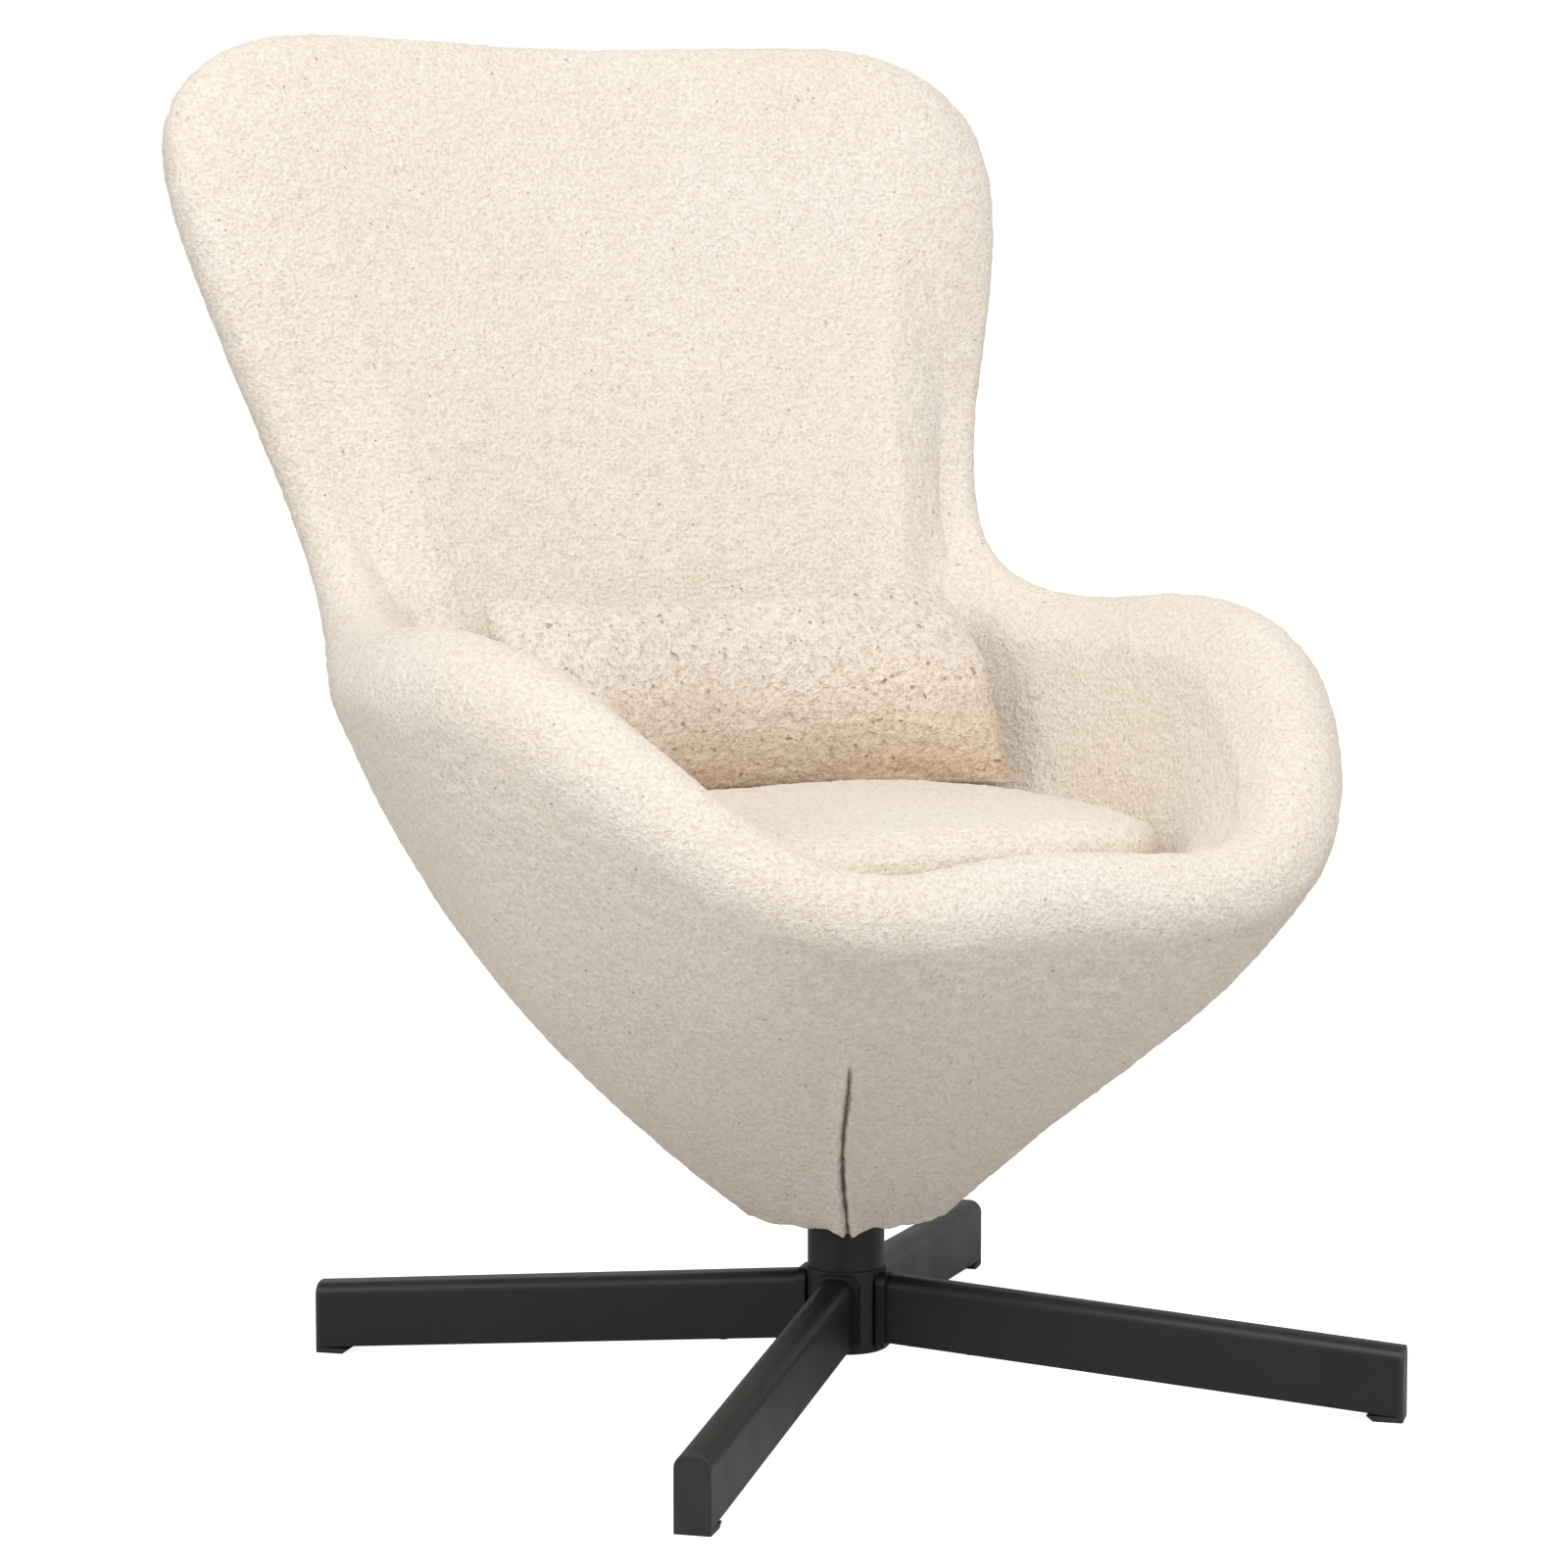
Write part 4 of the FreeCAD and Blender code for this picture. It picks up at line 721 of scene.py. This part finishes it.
def setPoints(mesh, points):
    mesh.vertices.foreach_set("co", points.astype(np.float32).reshape(-1))
    mesh.update()


def remesh(made, voxel):
    modifier = made.modifiers.new("remesh", "REMESH")
    modifier.mode = "VOXEL"
    modifier.voxel_size = voxel
    select(made)
    bpy.ops.object.modifier_apply(modifier="remesh")


def puff(made, cushion):  # blow the cushion up as stuffed cloth, and cap how far a point may go
    start = meshPoints(made.data)
    modifier = made.modifiers.new("puff", "CLOTH")
    modifier.settings.use_pressure = True
    modifier.settings.uniform_pressure_force = cushion["pressure"]
    modifier.settings.effector_weights.gravity = 0
    for name, setting in puffCloth.items():
        setattr(modifier.settings, name, setting)
    modifier.point_cache.frame_start = 1
    modifier.point_cache.frame_end = puffFrames
    for number in range(1, puffFrames + 1):
        bpy.context.scene.frame_set(number)
    seen = made.evaluated_get(bpy.context.evaluated_depsgraph_get())
    moved = meshPoints(seen.to_mesh()) - start
    seen.to_mesh_clear()
    made.modifiers.remove(modifier)
    reach = np.linalg.norm(moved, axis=1, keepdims=True)
    moved *= np.minimum(1, cushion["cap"] / np.maximum(reach, 1e-9))
    setPoints(made.data, start + moved)
    bpy.context.scene.frame_set(1)


def subdivide(made):
    modifier = made.modifiers.new("finer", "SUBSURF")
    modifier.levels = modifier.render_levels = 1
    select(made)
    bpy.ops.object.modifier_apply(modifier="finer")


def growSkin(made, thick):
    setPoints(made.data, meshPoints(made.data) + meshPoints(made.data, "normal") * thick)


def makeCushion(name, cushion):
    made = copyOfNode(name, cushion["from"])
    remesh(made, cushion["voxel"] * (1))
    puff(made, cushion)
    growSkin(made, cushion["skin"])
    subdivide(made)
    made.data.materials.clear()
    made.data.materials.append(materials[cushion["slot"]])
    applyTree(made, pile, {**cushion["pile"], "Material": materials[cushion["slot"]]})
    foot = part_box(cushion["replaces"][0])[0].z
    points = meshPoints(made.data)
    if "sag" in cushion:
        high = foot + cushion["sagHigh"]
        points[:, 2] -= cushion["sag"] * (1 - smoothStep(points[:, 2], high - cushion["sagSoft"], high))
    floor = foot - cushion.get("settle", 0)
    points[:, 2] = floor + (np.maximum(points[:, 2], floor) - floor) * cushion.get("sink", 1)
    setPoints(made.data, points)
    if "shadeHigh" in cushion:
        # painted shade that deepens towards the cushion's foot
        deep = (foot + cushion["shadeHigh"] - points[:, 2]) / cushion["shadeSoft"]
        storeShade(made, "warmShade", np.clip(deep, 0, 1))
    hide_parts(*cushion["replaces"])
    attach(made, cushion["body"])


for name, cushion in cushions.items():
    makeCushion(name, cushion)
    print(name, "made")


# Dust cloth

dust = {"outer": 60, "inner": 31, "low": 131.4, "thick": 1.0, "puckers": 24, "pucker": 0.5,
        "around": 192, "rings": 14, "flat": (0.12, 0.12), "area": 0.00829}


def makeDustCloth():
    around = dust["around"]
    angle = np.arange(around) / around * 2 * math.pi
    rings = []
    middle = dust["low"] + dust["thick"] / 2
    radii = np.linspace(dust["inner"], dust["outer"], dust["rings"])
    for side, steps in ((-0.5, radii), (0.5, radii[::-1])):
        for radius in steps:
            share = (radius - dust["inner"]) / (dust["outer"] - dust["inner"])
            high = middle + side * dust["thick"] + dust["pucker"] * share * np.sin(angle * dust["puckers"])
            rings.append(np.stack([radius * np.cos(-angle), radius * np.sin(-angle), high], 1))
    made = meshFromGrid("dustCloth", np.stack(rings, 1), False, False)
    work = bmesh.new()
    work.from_mesh(made.data)
    work.verts.ensure_lookup_table()
    rows = len(rings)
    for i in range(around):
        j = (i + 1) % around
        corners = (i * rows + rows - 1, j * rows + rows - 1, j * rows, i * rows)
        work.faces.new([work.verts[k] for k in corners])  # closes the inner edge
    bmesh.ops.recalc_face_normals(work, faces=work.faces)
    work.to_mesh(made.data)
    work.free()
    smoothShade(made)
    made.data.materials.append(materials["black_dust_cloth"])
    return made


dustCloth = makeDustCloth()
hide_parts("dust_cloth")
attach(dustCloth, "pod")
print("dust cloth made")


# Floor, light and camera

studio = {"floor": 60, "floorColour": "#cfcfcf", "floorGlow": 0.9, "ambient": 0.46, "aim": (0, 0, 0.5),
          # where each lamp stands, its width in metres and its power in watts
          "lamps": {"key": ((-1.2, -2.6, 4.2), 2.4, 130), "fill": ((3.2, -2.6, 2.6), 2.6, 44),
                    "side": ((-3.8, -0.6, 2.4), 2.4, 50), "rear": ((0.6, 3.4, 3.0), 2.4, 20)}}


def makeFloor():
    half = studio["floor"] / 2
    mesh = bpy.data.meshes.new("floor")
    corners = [(-half, -half, 0), (half, -half, 0), (half, half, 0), (-half, half, 0)]
    mesh.from_pydata(corners, [], [(0, 1, 2, 3)])
    floor = bpy.data.objects.new("floor", mesh)
    bpy.context.scene.collection.objects.link(floor)
    material = bpy.data.materials.new("whiteFloor")
    material.use_nodes = True
    tree = material.node_tree
    tree.nodes.clear()
    matt = addNode(tree, "ShaderNodeBsdfDiffuse", {}, {"Color": paint(studio["floorColour"])})
    glow = addNode(tree, "ShaderNodeEmission", {}, {"Color": (1, 1, 1, 1), "Strength": studio["floorGlow"]})
    lifted = addNode(tree, "ShaderNodeAddShader", {}, {0: matt, 1: glow})
    seen = addNode(tree, "ShaderNodeLightPath").outputs["Is Camera Ray"]
    both = addNode(tree, "ShaderNodeMixShader", {}, {0: seen, 1: matt, 2: lifted})
    addNode(tree, "ShaderNodeOutputMaterial", {}, {"Surface": both})
    mesh.materials.append(material)


def makeWorld():
    world = bpy.data.worlds.new("studio")
    bpy.context.scene.world = world
    world.use_nodes = True
    tree = world.node_tree
    tree.nodes.clear()
    path = addNode(tree, "ShaderNodeLightPath").outputs
    seen = addNode(tree, "ShaderNodeMath", {"operation": "MAXIMUM"},
                   {0: path["Is Camera Ray"], 1: path["Is Transmission Ray"]})
    strength = addNode(tree, "ShaderNodeMapRange", {}, {0: seen, 3: studio["ambient"]})
    white = addNode(tree, "ShaderNodeBackground", {}, {"Color": (1, 1, 1, 1), "Strength": strength})
    addNode(tree, "ShaderNodeOutputWorld", {}, {"Surface": white})


def makeLamps():
    for name, (place, size, power) in studio["lamps"].items():
        light = bpy.data.lights.new(name, "AREA")
        light.size = size
        light.energy = power
        lamp = bpy.data.objects.new(name, light)
        lamp.location = place
        lamp.rotation_euler = (Vector(studio["aim"]) - Vector(place)).to_track_quat("-Z", "Y").to_euler()
        bpy.context.scene.collection.objects.link(lamp)


# the camera of the photo: its turn round the chair in degrees, its place in metres, its small turns in
# radians, and its focal length and the image's width in pixels
shot = {"azimuth": 31, "distance": 3.1432, "height": 0.8012, "yaw": -0.01435, "pitch": 0.11412,
        "roll": -0.00025, "focal": 4481.5, "image": 1600, "sensor": 36, "farthest": 100}


def makeCamera():
    turn = math.radians(shot["azimuth"])
    yaw, pitch, roll = shot["yaw"], shot["pitch"], shot["roll"]
    ahead = Vector((math.sin(yaw) * math.cos(pitch), math.cos(yaw) * math.cos(pitch), -math.sin(pitch)))
    level = Vector((math.cos(yaw), -math.sin(yaw), 0))
    above = level.cross(ahead)
    right = level * math.cos(roll) + above * math.sin(roll)
    above = above * math.cos(roll) - level * math.sin(roll)
    spin = Matrix.Rotation(-turn, 3, "Z")
    right, above, ahead = spin @ right, spin @ above, spin @ ahead
    place = spin @ Vector((0, -shot["distance"], shot["height"]))
    lens = bpy.data.cameras.new("camera")
    lens.sensor_fit = "HORIZONTAL"
    lens.sensor_width = shot["sensor"]
    lens.lens = shot["focal"] / shot["image"] * shot["sensor"]
    lens.clip_end = shot["farthest"]
    camera = bpy.data.objects.new("camera", lens)
    bpy.context.scene.collection.objects.link(camera)
    camera.matrix_world = Matrix((
        (right.x, above.x, -ahead.x, place.x),
        (right.y, above.y, -ahead.y, place.y),
        (right.z, above.z, -ahead.z, place.z),
        (0, 0, 0, 1)))
    bpy.context.scene.camera = camera


makeFloor()
makeWorld()
makeLamps()
makeCamera()
bpy.context.scene.view_settings.view_transform = "Standard"
print("stage made")
